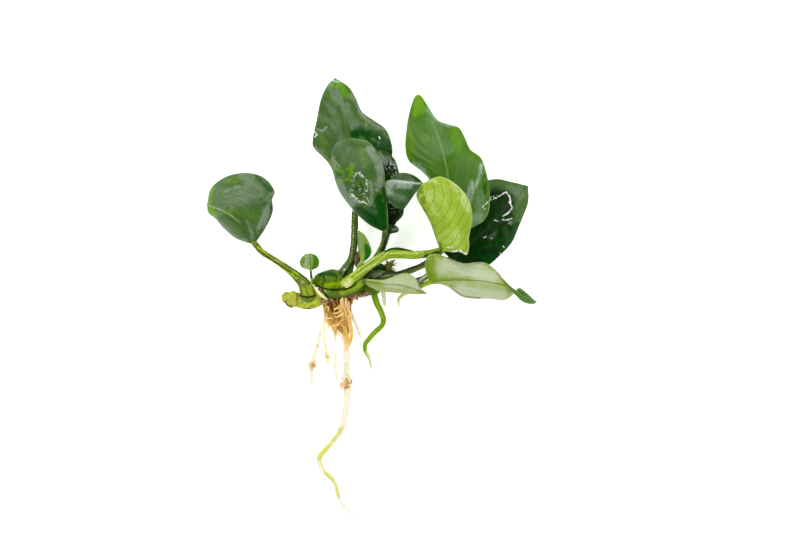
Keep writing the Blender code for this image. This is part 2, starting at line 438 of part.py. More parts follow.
def build():
    clear_scene()
    parts = new_collection("anubias_plant")
    guides = new_collection("cutters")
    clearance = {"surface": floor_cutter(guides)}

    def clearance_of(name):
        """What keeps a later piece off an earlier one: the earlier one, made larger by the gap."""
        if name not in clearance:
            made = crown(name + "_clearance", guides, GAP) if name == "root_crown" else \
                tube(name + "_clearance", TUBES[name], guides, GAP)
            clearance[name] = make_cutter(made)
        return clearance[name]

    for name, spec in BLADES.items():
        blade(name, spec, parts)
    for name, spec in TUBES.items():
        piece = tube(name, spec, parts)
        give_material(piece, spec["colour"])
        cut(piece, [clearance_of(parent) for parent in spec.get("from", [])])
        if name.startswith("rhizome"):
            cut(piece, [clearance_of("surface")])
    bundle = crown("root_crown", parts)
    give_material(bundle, ROOT_TAN)
    cut(bundle, [clearance_of(parent) for parent in CROWN_FROM])


build()
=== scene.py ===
"""The look of a bare-root anubias plant that lies on a plain pale surface, seen from straight above.

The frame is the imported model's: the plant lies on its side, its top is towards +Y, its roots are towards -Y and
+Z is up off the surface. Places and sizes in the tables are in millimetres, and angles are in degrees.
Every leaf, stalk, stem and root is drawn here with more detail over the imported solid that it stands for.
"""
import math
import random

import bmesh
import bpy
import numpy as np
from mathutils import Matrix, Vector, noise


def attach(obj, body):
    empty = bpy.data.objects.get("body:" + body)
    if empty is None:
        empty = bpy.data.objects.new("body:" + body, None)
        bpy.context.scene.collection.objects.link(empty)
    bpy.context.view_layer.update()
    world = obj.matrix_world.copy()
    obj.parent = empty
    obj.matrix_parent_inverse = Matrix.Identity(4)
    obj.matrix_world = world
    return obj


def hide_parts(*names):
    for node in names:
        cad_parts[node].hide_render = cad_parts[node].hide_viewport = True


MM = 0.001
SEED = 11
CURVE_SAMPLES = 16       # samples between two given points of a smooth line
TIP_SHARE = 0.985        # margins stop at this share of their length, so a tip is rounded
SURFACE_CLEAR = 0.04     # nothing goes lower than this above the surface
FIBRE_CLEAR = 0.25       # and no fibre's middle line lower than this

BLADE_CELL = 0.38        # size of a cell of a blade
LEAST_ROWS = 30          # fewest cells along a blade
LEAST_COLUMNS = 10       # and across each half of it
THICK_MIDDLE = 0.62      # thickness of a blade beside its midrib
THICK_EDGE = 0.26        # and at its margins
THICK_CURVE = 0.8
EDGE_ROUND = 0.1         # how far the rounded margin stands out
TIP_THINNING = 0.06      # a blade thins over this share of its length before the tip
TIP_THINNEST = 0.35      # down to this share of its thickness
MARGIN_PHASES = (0.3, 2.1)   # where the waves of the left and of the right margin start
SWAY_HEIGHT = 0.35       # broad unevenness of a blade
SWAY_SIZE = 9.0
RIB_HALF = 0.7           # half width of a midrib
RIB_FADE = 0.6
VEIN_CURVE = 1.3         # how much the side veins bend towards the tip
VEIN_SHIFT = 0.37        # the right side's veins leave the midrib this much later than the left side's
RIB_WINDOW = 0.1         # the midrib fades in and out over this share of the blade

END_BENDS = (78, 55, 30)     # the rings of a rounded end, by how far they are bent
GROOVE_WINDOW = 0.06     # a groove starts and ends over this share of the stalk
RING_SWAY = 0.5          # how far the rings round a stem wander along it
RING_DARKNESS = 6.0      # how much darker a ring is painted, by its depth: a dark scar line and painted shade in its groove

STROKE_NOISES = ((1.6, 3.7), (4.5, 8.1))     # size and seed of the unevenness of a painted stroke's edge
STROKE_RAGGED = 0.35     # how strong each is
STROKE_FULL = 1.25       # above 1 a stroke has its full strength over more than its middle line
SHEEN_AND_PALE_UNEVENNESS = 0.7
SHEEN_AND_PALE_FADING = 1.2

FLOOR_HALF = 1500.0
FLOOR_DROP = -0.03
FLOOR_GREY = 0.9
FLOOR_ROUGHNESS = 0.85
FLOOR_SPECULAR = 0.2
FLOOR_GLOW = 0.7
CAMERA_X = 22.0
CAMERA_Y = 7.0
CAMERA_HEIGHT = 2666.7
CAMERA_LENS = 300.0
CAMERA_SENSOR = 36.0
CAMERA_CLIP = (10.0, 20000.0)
SKY_SIDE = 2.6
SKY_TOP = 0.2
SKY_STEP = (0.15, 0.85)
LIGHT_DISTANCE = 1100.0
# Name, compass angle from +X, angle from straight up, width and power of each light. The wide panels fill, and
# the small ones give wet places their glints.
PANELS = [("left_panel", 150, 46, 420, 4.2), ("right_panel", 25, 50, 420, 3.6), ("low_panel", 275, 60, 700, 5.0),
          ("top_panel", 95, 56, 600, 4.0)]
HIDDEN_IN_GLOSS = ("low_panel", "top_panel")
GLINTS = [("glint_a", 130, 40, 90, 0.8), ("glint_b", 50, 48, 90, 0.7), ("glint_c", 200, 50, 90, 0.6),
          ("glint_d", 330, 42, 90, 0.6), ("glint_e", 265, 55, 90, 0.5), ("glint_f", 95, 24, 70, 0.3)]

# The dark heart of the root bundle is a flattened ball, cut off near its lower end.
CROWN_MIDDLE = (-2.9, -12.4, 3.2)
CROWN_HALF = (6.8, 10.4, 3.1)
CROWN_ROWS = 60
CROWN_SIDES = 64
CROWN_CUT = -0.7         # where along its half length it is cut off
CROWN_SHRINK = (0.86, 0.88)  # its width and height, as shares of the bundle's
CROWN_TAPER = 0.45       # how much narrower the bundle's lower end is
CROWN_FULLNESS = 0.2     # how much it keeps its width towards its ends
CROWN_LEAN = 1.6         # how far its lower end leans towards +X
CROWN_RIDGES = (1.6, 0.35, 1.6)  # how much the ridges on it are squeezed on each axis
# Strokes on the heart: deep brown and painted shade under the first, lighter under the second.
CROWN_DEEP_AND_SHADE = [([(-8, -7), (-5, -8.4), (-2.4, -8.6)], 3.2, 1), ([(-6, -12), (-3, -14)], 1.6, 0.6)]
CROWN_FRESH = [([(3, -5), (4, -12), (3, -22)], 2.2, 0.8), ([(-3, -17), (1, -22)], 4.4, 0.9)]

# Fibres of the root bundle, in the order in which they are drawn: the bundle they belong to, their guide with how
# far they spread at each point, how many they are, their smallest and largest radius, and how far they stray.
CROWN_COLUMN = [(-0.8, -5, 6.4, 2), (-0.4, -8, 7.4, 2), (0.4, -13, 7, 1.8), (1.4, -18, 5.2, 1.6),
                (1.2, -22, 3.4, 1.2)]
CROWN_GUIDES = [
    ("brown", [(-4.8, -5, 5.6, 2), (-4.4, -8, 6, 2), (-3.8, -11, 5.8, 1.8), (-3, -14, 5.4, 1.8)],
     26, (0.16, 0.28), 0.5),
    ("tan", [(-7, -5.6, 4.6, 1.6), (-5.4, -10, 5.8, 3), (-3.4, -15, 6, 3), (-0.6, -20, 3.8, 2.2)],
     44, (0.12, 0.26), 0.7),
    ("gold", [(-0.8, -5, 5.4, 2), (-0.4, -8, 6.6, 2), (0.4, -13, 6.2, 1.8), (1.4, -18, 4.6, 1.6),
              (1.2, -22, 2.8, 1.4), (0.8, -26, 1.7, 0.9)], 50, (0.2, 0.4), 0.4),
    ("white", [(-7.8, -8, 4.6, 0.5), (-8.6, -12, 4.2, 0.7), (-9.2, -16, 2.8, 0.5), (-9, -20, 1.6, 0.8)],
     7, (0.2, 0.34), 0.25)]
CROWN_TUFT = ((-7.4, -6.6, 6), (2.2, 1, 0.6), 30, 2.4, 0.34)
CROWN_LATER = [
    ("gold", [(-6, -11, 6.2, 2), (-4.4, -15, 6, 2.4), (-2.4, -18.4, 4.8, 2.2), (-0.4, -22, 2.6, 1.4)],
     34, (0.1, 0.22), 0.5),
    ("white", [(-6.6, -15, 4.4, 1.6), (-6.2, -20, 2.8, 1.8), (-5.4, -28, 1.4, 1.4), (-5, -33, 0.8, 1)],
     20, (0.2, 0.4), 0.3),
    ("tan", CROWN_COLUMN, 16, (0.1, 0.2), 0.6),
    ("loops", CROWN_COLUMN, 8, (0.14, 0.26), 0.5)]

# Thick pale fibres that cross the front of the root bundle.
CROWN_LOOPS = [[(-4.4, -10.4, 8), (-3.3, -9.6, 8.4), (-2, -9.1, 8)],
               [(-4.7, -11.7, 8.2), (-3.1, -11.6, 8.6), (-1.5, -10.4, 8.2)],
               [(-3.6, -13.3, 7.8), (-2, -12.7, 8.2), (-0.4, -11.6, 8)],
               [(-5.7, -16.9, 6.6), (-3.6, -16.5, 7.4), (-1.5, -14.9, 7.8), (-0.9, -13.9, 7.6)],
               [(-6.8, -13.9, 6.6), (-5.8, -13.5, 7), (-4.6, -13.9, 7.2)],
               [(-7.1, -8.8, 6.8), (-6.3, -9.8, 7.2), (-7, -10.9, 6.8)]]
LOOP_SPREAD = 0.15

# Tufts of curled fibres under the main stem, by their middles, and the tuft where the branch meets it. A tuft is
# its middle, half its size, how many fibres, how long they are and their radius.
UNDERSIDE_MIDDLES = [(1.6, -5.8, 5.2), (4, -5, 6), (6.6, -3.8, 6), (9.4, -2.4, 5.6)]
UNDERSIDE_TUFT = ((2, 1.1, 0.8), 26, 2.4, 0.4)
BRANCH_TUFT = ((-9.6, -2.2, 5), (1.6, 0.9, 0.4), 12, 2, 0.4)
BASES_GUIDE = [(9, 2, 5, 1), (12, 4, 5.6, 1.8), (16, 5.4, 5.6, 1.6), (20, 5, 5.4, 0.8)]
SPIKE_COUNT = 14
SPIKE_MIDDLE = (17.6, 7.2)
SLIVER_COUNT = 14

# Sheaths: the node that each lies on, its finish and its path with its radius.
SHEATHS = {
    "bases_sheath": ("rhizome_main", "stalk_deep",
                     [(8.6, 3.4, 5.4, 0.9), (11, 5.8, 6.6, 1.5), (13.4, 6.8, 6.8, 1.7), (16, 6.4, 5.6, 1)]),
    "tall_sheath": ("stalk_tall_left", "stalk_silver_green",
                    [(-2.6, 4.6, 5, 0.7), (-0.8, 5.8, 6.2, 1.2), (0.8, 8, 6.8, 1.1), (1.8, 10.4, 7, 0.4)]),
    "arch_sheath": ("stalk_pale_raised", "stalk_deep",
                    [(15, 11.6, 12.8, 0.4), (17.6, 13.4, 13.4, 0.7), (21, 13.9, 13.8, 0.75),
                     (24.6, 13.4, 14.2, 0.6), (28, 12.8, 14.6, 0.3)]),
}

# Clumps of fine fibres on a root: the root, the clump's middle, half its width and height, and how many fibres each
# side of it has.
CLUMPS = [("root_long", 0.5, -39.8, 3.7, 2.1, 3.4, 34), ("root_far_left", -13.2, -32.4, 2.7, 1.5, 2, 22),
          ("root_far_left", -10.9, -24.6, 1.6, 0.6, 0.9, 5), ("root_pale_left", -7.1, -29, 2.1, 0.8, 1.3, 7)]

# The finish of the side of a blade that faces away from the camera, by the finish of the other.
BACKS = {"leaf_dark": "leaf_under", "leaf_mid": "leaf_under", "leaf_deep": "leaf_under", "leaf_bright": "leaf_dark",
         "leaf_pale": "leaf_mid", "leaf_cup": "leaf_dark", "leaf_bud": "leaf_under",
         "leaf_young": "leaf_under", "bract": "bract"}

# Colours are linear. Each finish below starts from these.
LEAF_GREEN = (0.056, 0.122, 0.026)
LEAF_FRESH = (0.13, 0.31, 0.005)
# The next four: deep green that is also painted shade, a painted sheen, a painted highlight and the white of painted
# glints.
LEAF_DEEP_AND_SHADE = (0.0005, 0.06, 0.0005)
LEAF_SHEEN = (0.27, 0.33, 0.25)
LEAF_HIGHLIGHT = (0.6, 0.7, 0.52)
GLINT_WHITE = (0.9, 0.93, 0.9)
STALK_GREEN = (0.08, 0.125, 0.022)
STALK_LIME = (0.32, 0.46, 0.012)
BARK_BROWN = (0.12, 0.07, 0.012)
LEAF_COLOURS = {"Green": LEAF_GREEN, "Fresh": LEAF_FRESH, "Deep": LEAF_DEEP_AND_SHADE, "Frost": LEAF_SHEEN, "Highlight": LEAF_HIGHLIGHT,
                "Vein": LEAF_FRESH, "Rib": LEAF_FRESH, "Rim": LEAF_FRESH}
LEAF_VALUES = {"Vein Strength": 0.3, "Fine Strength": 0.1, "Rib Strength": 0.5, "Rim Strength": 0.5, "Mottle": 0.3,
               "Grain": 0.07, "Gloss": 0.25, "Streaks": 1.0, "Raggedness": 0.5, "Ripple": 1.0}
STEM_COLOURS = {"Skin": STALK_GREEN, "Fresh": STALK_LIME, "Deep": LEAF_DEEP_AND_SHADE, "Frost": LEAF_SHEEN,
                "Streak": STALK_LIME, "Speckle": BARK_BROWN}
STEM_VALUES = {"Streak Strength": 0.4, "Speckle Strength": 0.0, "Gloss": 0.3, "Wrinkle": 0.3}

# The noises of the surfaces, with their features for each metre, their detail and their distortion.
LEAF_NOISES = {"drift": (160.0, 2.0, 0.0), "patches": (130.0, 4.0, 0.6), "grain": (1500.0, 2.0, 0.0),
               "ragged": (420.0, 4.0, 0.8), "glint_specks": (640.0, 2.0, 2.2), "glint_beads": (800.0, 3.0, 0.0),
               "ripple": (520.0, 2.0, 1.8)}
STEM_NOISES = {"patches": (260.0, 4.0, 0.8), "fine": (700.0, 3.0, 0.6), "grain": (1700.0, 2.0, 0.0)}
LEAF_STREAKS = (7.0, 22.0, 0.0)  # streaks along a blade and across it
STEM_STREAKS = (2.4, 2.4, 0.16)  # streaks round a stem and along it
STEM_HOOPS = (0.5, 0.5, 1.4)
# Where each mark on a surface starts and where it is full.
LEAF_STEPS = {"vein": (0.1, 0.0), "fine": (0.3, 0.0), "rib": (0.6, 0.15), "rim": (0.6, 0.2), "speck": (0.35, 0.65),
              "clouds": (0.38, 0.68), "dark": (0.4, 0.56), "glint_specks": (0.57, 0.61), "wet": (0.2, 0.6),
              "glint_beads": (0.4, 0.6), "glint_film": (0.1, 0.5), "highlight": (0.95, 1.5), "gloss": (0.1, 0.6), "swell": (0.3, 0.7)}
STEM_STEPS = {"line": (0.42, 0.66), "spots": (0.52, 0.66), "speck": (0.35, 0.65, 0.88, 1.1), "dark": (0.3, 0.6),
              "frost": (0.35, 0.65), "faint": (0.0, 0.3)}
# How high each mark stands, for the relief.
LEAF_HEIGHTS = {"glint_film": 0.45, "vein": -0.15, "fine": -0.012, "patches": 0.25, "grain": 0.02}
STEM_HEIGHTS = {"streaks": 0.4, "patches": 0.3, "grain": 0.06}
FINE_VEINS = 6.0         # fine veins for each side vein
WET_ROUGHNESS = 0.08
COAT_ROUGHNESS = 0.06
# how far painted glints turn a blade's colour white
GLINT_COVER = 0.93
ROOT_GLOW = 0.12         # painted light: emission that makes a pale root brighter
FIBRE_GLOW = 0.25        # and the fibres in front
# painted light that makes the white fibres brighter
WHITE_GLOW = 0.45

# The finishes of the blades and of the stems and roots, from their own values over these and over the first values
# of their surface. "relief" is the height of the fine relief, and "glow" is painted light: the colour given off as
# emission.
PLAIN_FINISH = {"relief": 0.5, "specular": 0.12, "glow": 0.0}
LEAF_FINISHES = {
    "leaf_dark": {
        "Vein": (0.075, 0.16, 0.035), "Rib": (0.22, 0.36, 0.08), "Rim": (0.2, 0.32, 0.08), "Mottle": 0.2,
        "Vein Strength": 0.35, "Fine Strength": 0.14, "Rib Strength": 0.6, "Rim Strength": 0.6,
        "Streaks": 0.7, "Gloss": 0.28},
    "leaf_mid": {
        "Green": (0.062, 0.17, 0.011), "Vein": (0.12, 0.26, 0.045), "Rib": (0.22, 0.36, 0.13),
        "Rim": (0.3, 0.44, 0.1), "Frost": (0.3, 0.41, 0.28), "Mottle": 0.2, "Vein Strength": 0.35,
        "Fine Strength": 0.16, "Rib Strength": 0.7, "Rim Strength": 0.7, "Gloss": 0.26},
    "leaf_deep": {
        "Green": (0.002, 0.024, 0.001), "Fresh": (0.08, 0.16, 0.04), "Deep": (0.001, 0.07, 0.002),
        "Vein": (0.03, 0.09, 0.02), "Rib": (0.05, 0.12, 0.03), "Rim": (0.1, 0.17, 0.06), "Mottle": 0.1,
        "Vein Strength": 0.3, "Rim Strength": 0.5, "Gloss": 0.26, "specular": 0.08},
    "leaf_under": {
        "Green": (0.24, 0.36, 0.09), "Fresh": (0.32, 0.44, 0.11), "Deep": (0.2, 0.3, 0.06),
        "Frost": (0.45, 0.53, 0.3), "Vein": (0.15, 0.26, 0.05), "Rib": (0.34, 0.46, 0.13),
        "Rim": (0.38, 0.48, 0.2), "Mottle": 0.3, "Vein Strength": 0.4, "Gloss": 0.45},
    # partly painted light: this bright yellow green stands in for light that comes through the blade
    "leaf_bright": {
        "Green": (0.32, 0.47, 0.03), "Fresh": (0.44, 0.62, 0.1), "Deep": (0.12, 0.22, 0.008),
        "Frost": (0.6, 0.72, 0.28), "Vein": (0.1, 0.19, 0.004), "Rib": (0.28, 0.44, 0.03),
        "Rim": (0.56, 0.68, 0.24), "Mottle": 0.6, "Grain": 0.07, "Vein Strength": 0.6, "Fine Strength": 0.2,
        "Rib Strength": 0.5, "Rim Strength": 0.7, "Gloss": 0.38},
    "leaf_pale": {
        "Green": (0.48, 0.56, 0.22), "Fresh": (0.2, 0.34, 0.002), "Deep": (0.14, 0.17, 0.07),
        "Frost": (0.6, 0.66, 0.45), "Highlight": (0.8, 0.84, 0.7), "Raggedness": 0.1, "Vein": (0.17, 0.27, 0.02),
        "Rib": (0.17, 0.27, 0.01), "Rim": (0.56, 0.61, 0.36), "Mottle": 0.06, "Grain": 0.03,
        "Vein Strength": 0.7, "Fine Strength": 0.5, "Rib Strength": 0.95, "Rim Strength": 0.4, "Gloss": 0.36},
    "leaf_cup": {
        "Green": (0.045, 0.13, 0.025), "Fresh": (0.04, 0.13, 0.004), "Frost": (0.5, 0.58, 0.5),
        "Vein": (0.12, 0.2, 0.09), "Rib": (0.1, 0.18, 0.06), "Rim": (0.36, 0.46, 0.33), "Mottle": 0.1,
        "Vein Strength": 0.3, "Rim Strength": 0.9, "Gloss": 0.36},
    "leaf_bud": {
        "Green": (0.17, 0.29, 0.05), "Fresh": (0.3, 0.45, 0.06), "Deep": (0.04, 0.21, 0.003),
        "Frost": (0.52, 0.62, 0.42), "Vein": (0.13, 0.25, 0.04), "Rib": (0.08, 0.22, 0.01),
        "Rim": (0.16, 0.27, 0.08), "Mottle": 0.15, "Grain": 0.06, "Gloss": 0.32},
    "leaf_young": {
        "Green": (0.2, 0.33, 0.06), "Fresh": (0.3, 0.42, 0.1), "Deep": (0.01, 0.13, 0.003),
        "Vein": (0.12, 0.22, 0.03), "Rib": (0.24, 0.36, 0.1), "Rim": (0.18, 0.28, 0.06), "Mottle": 0.2,
        "Grain": 0.06, "Gloss": 0.32},
    "bract": {
        "Green": (0.09, 0.08, 0.025), "Fresh": (0.22, 0.17, 0.06), "Deep": (0.03, 0.04, 0.01),
        "Frost": (0.34, 0.29, 0.16), "Vein": (0.08, 0.05, 0.015), "Rib": (0.22, 0.16, 0.06),
        "Rim": (0.05, 0.03, 0.01), "Mottle": 0.6, "Gloss": 0.55, "relief": 0.7},
}
STEM_FINISHES = {
    "stalk_dark": {
        "Deep": (0.008, 0.035, 0.003), "Frost": (0.6, 0.66, 0.54), "Streak": (0.12, 0.21, 0.035),
        "Speckle": (0.025, 0.04, 0.006), "Speckle Strength": 0.4, "Gloss": 0.28, "relief": 0.7},
    "stalk_round": {
        "Skin": (0.13, 0.18, 0.02), "Fresh": (0.4, 0.55, 0.015), "Deep": (0.02, 0.045, 0.004),
        "Frost": (0.38, 0.46, 0.24), "Streak": (0.28, 0.36, 0.03), "Gloss": 0.28, "relief": 0.7},
    "stalk_lime": {
        "Skin": (0.28, 0.41, 0.05), "Fresh": (0.46, 0.6, 0.1), "Deep": (0.01, 0.05, 0.003),
        "Streak": (0.42, 0.55, 0.12), "relief": 0.6},
    "stalk_arch": {
        "Skin": (0.24, 0.38, 0.016), "Fresh": (0.6, 0.72, 0.12), "Deep": (0.04, 0.11, 0.006),
        "Frost": (0.82, 0.8, 0.4), "Streak": (0.38, 0.54, 0.06), "Speckle": (0.15, 0.24, 0.004),
        "Speckle Strength": 0.3, "relief": 0.8},
    "stalk_olive": {
        "Skin": (0.07, 0.15, 0.02), "Fresh": (0.32, 0.48, 0.006), "Deep": (0.03, 0.028, 0.003),
        "Frost": (0.48, 0.42, 0.24), "Streak": (0.16, 0.26, 0.03), "Speckle": BARK_BROWN,
        "Speckle Strength": 0.3, "relief": 0.8},
    "stalk_brown": {
        "Skin": (0.09, 0.15, 0.02), "Fresh": (0.3, 0.38, 0.08), "Deep": (0.035, 0.045, 0.008),
        "Frost": (0.36, 0.4, 0.2), "Streak": (0.14, 0.18, 0.04), "Speckle": (0.03, 0.03, 0.006),
        "Speckle Strength": 0.4, "relief": 0.7},
    "rhizome": {
        "Skin": (0.08, 0.16, 0.003), "Fresh": (0.34, 0.54, 0.004), "Deep": (0.016, 0.08, 0.001),
        "Frost": (0.3, 0.19, 0.05), "Streak": (0.16, 0.26, 0.006), "Streak Strength": 0.3,
        "Speckle": (0.12, 0.08, 0.008), "Speckle Strength": 0.4, "Gloss": 0.36, "Wrinkle": 0.6,
        "relief": 1.0},
    "rhizome_pale": {
        "Skin": (0.52, 0.52, 0.06), "Fresh": (0.44, 0.64, 0.03), "Deep": (0.09, 0.11, 0.01),
        "Frost": (0.56, 0.66, 0.32), "Streak": (0.66, 0.6, 0.1), "Streak Strength": 0.5,
        "Speckle": (0.14, 0.1, 0.008), "Speckle Strength": 0.75, "Gloss": 0.42, "Wrinkle": 0.6,
        "relief": 1.0},
    "root_cream": {
        "Skin": (0.93, 0.85, 0.7), "Fresh": (0.66, 0.66, 0.12), "Deep": (0.82, 0.56, 0.2),
        "Streak": (0.95, 0.92, 0.82), "Speckle": (0.86, 0.7, 0.4), "Speckle Strength": 0.25, "Gloss": 0.5,
        "glow": ROOT_GLOW},
    "root_yellow": {
        "Skin": (0.92, 0.84, 0.44), "Fresh": (0.8, 0.76, 0.2), "Deep": (0.6, 0.4, 0.12),
        "Streak": (0.94, 0.9, 0.66), "Speckle": (0.75, 0.64, 0.24), "Speckle Strength": 0.25, "Gloss": 0.5,
        "glow": ROOT_GLOW},
    "root_loops": {
        "Skin": (0.9, 0.68, 0.34), "Fresh": (0.95, 0.78, 0.44), "Streak": (0.97, 0.82, 0.54),
        "Speckle": (0.7, 0.42, 0.16), "Speckle Strength": 0.5, "Gloss": 0.45, "glow": FIBRE_GLOW},
    "root_white": {
        "Skin": (0.96, 0.92, 0.84), "Fresh": (0.95, 0.92, 0.7), "Deep": (0.8, 0.6, 0.4),
        "Streak": (0.97, 0.94, 0.66), "Speckle": (0.9, 0.78, 0.7), "Speckle Strength": 0.3, "Gloss": 0.5,
        "glow": WHITE_GLOW},
    "root_gold": {
        "Skin": (0.9, 0.58, 0.14), "Fresh": (0.95, 0.74, 0.34), "Deep": (0.4, 0.22, 0.03),
        "Streak": (0.97, 0.76, 0.4), "Speckle": (0.55, 0.32, 0.05), "Speckle Strength": 0.35, "Gloss": 0.55,
        "relief": 0.6, "glow": FIBRE_GLOW},
    "root_tan": {
        "Skin": (0.62, 0.34, 0.07), "Fresh": (0.8, 0.5, 0.1), "Deep": (0.07, 0.025, 0.004),
        "Streak": (0.85, 0.58, 0.2), "Speckle": (0.12, 0.055, 0.012), "Speckle Strength": 0.5, "Gloss": 0.6,
        "relief": 0.9, "glow": ROOT_GLOW},
    "root_brown": {
        "Skin": (0.16, 0.065, 0.01), "Fresh": (0.3, 0.14, 0.03), "Deep": (0.04, 0.015, 0.003),
        "Streak": (0.36, 0.18, 0.04), "Speckle": (0.04, 0.018, 0.006), "Speckle Strength": 0.5, "Gloss": 0.6,
        "relief": 0.9},
    "root_pink": {
        "Skin": (0.52, 0.32, 0.18), "Fresh": (0.6, 0.4, 0.24), "Deep": (0.16, 0.08, 0.03),
        "Streak": (0.66, 0.46, 0.3), "Speckle": (0.2, 0.11, 0.05), "Speckle Strength": 0.5, "Gloss": 0.5,
        "relief": 0.7, "glow": ROOT_GLOW},
    "stalk_dried": {
        "Skin": (0.4, 0.36, 0.06), "Fresh": (0.5, 0.48, 0.12), "Streak": (0.74, 0.66, 0.24),
        "Speckle": (0.05, 0.04, 0.01), "Speckle Strength": 0.6, "Gloss": 0.5, "relief": 0.7},
    "stalk_base": {
        "Skin": (0.08, 0.14, 0.03), "Fresh": (0.16, 0.25, 0.06), "Streak": (0.3, 0.38, 0.16),
        "Speckle": (0.02, 0.04, 0.008), "Speckle Strength": 0.4, "Gloss": 0.3, "relief": 0.7},
    "stalk_silver_green": {
        "Skin": (0.09, 0.16, 0.05), "Fresh": (0.16, 0.25, 0.1), "Streak": (0.34, 0.4, 0.26),
        "Speckle": (0.02, 0.05, 0.01), "Speckle Strength": 0.5, "Gloss": 0.3, "relief": 0.7},
    "stalk_deep": {
        "Skin": (0.012, 0.06, 0.003), "Fresh": (0.04, 0.12, 0.006), "Streak": (0.05, 0.15, 0.01),
        "Speckle": (0.006, 0.02, 0.002), "Speckle Strength": 0.4, "Gloss": 0.25, "relief": 0.7},
    "stalk_silver": {
        "Skin": (0.42, 0.5, 0.3), "Fresh": (0.6, 0.66, 0.46), "Streak": (0.8, 0.86, 0.7),
        "Speckle": (0.04, 0.06, 0.02), "Speckle Strength": 0.5, "Gloss": 0.3, "relief": 0.7},
    "root_green": {
        "Skin": (0.17, 0.34, 0.003), "Fresh": (0.36, 0.56, 0.02), "Deep": (0.05, 0.12, 0.003),
        "Frost": (0.66, 0.7, 0.3), "Streak": (0.26, 0.42, 0.02), "Speckle": (0.2, 0.17, 0.015),
        "Speckle Strength": 0.25, "Gloss": 0.38, "relief": 0.6},
}

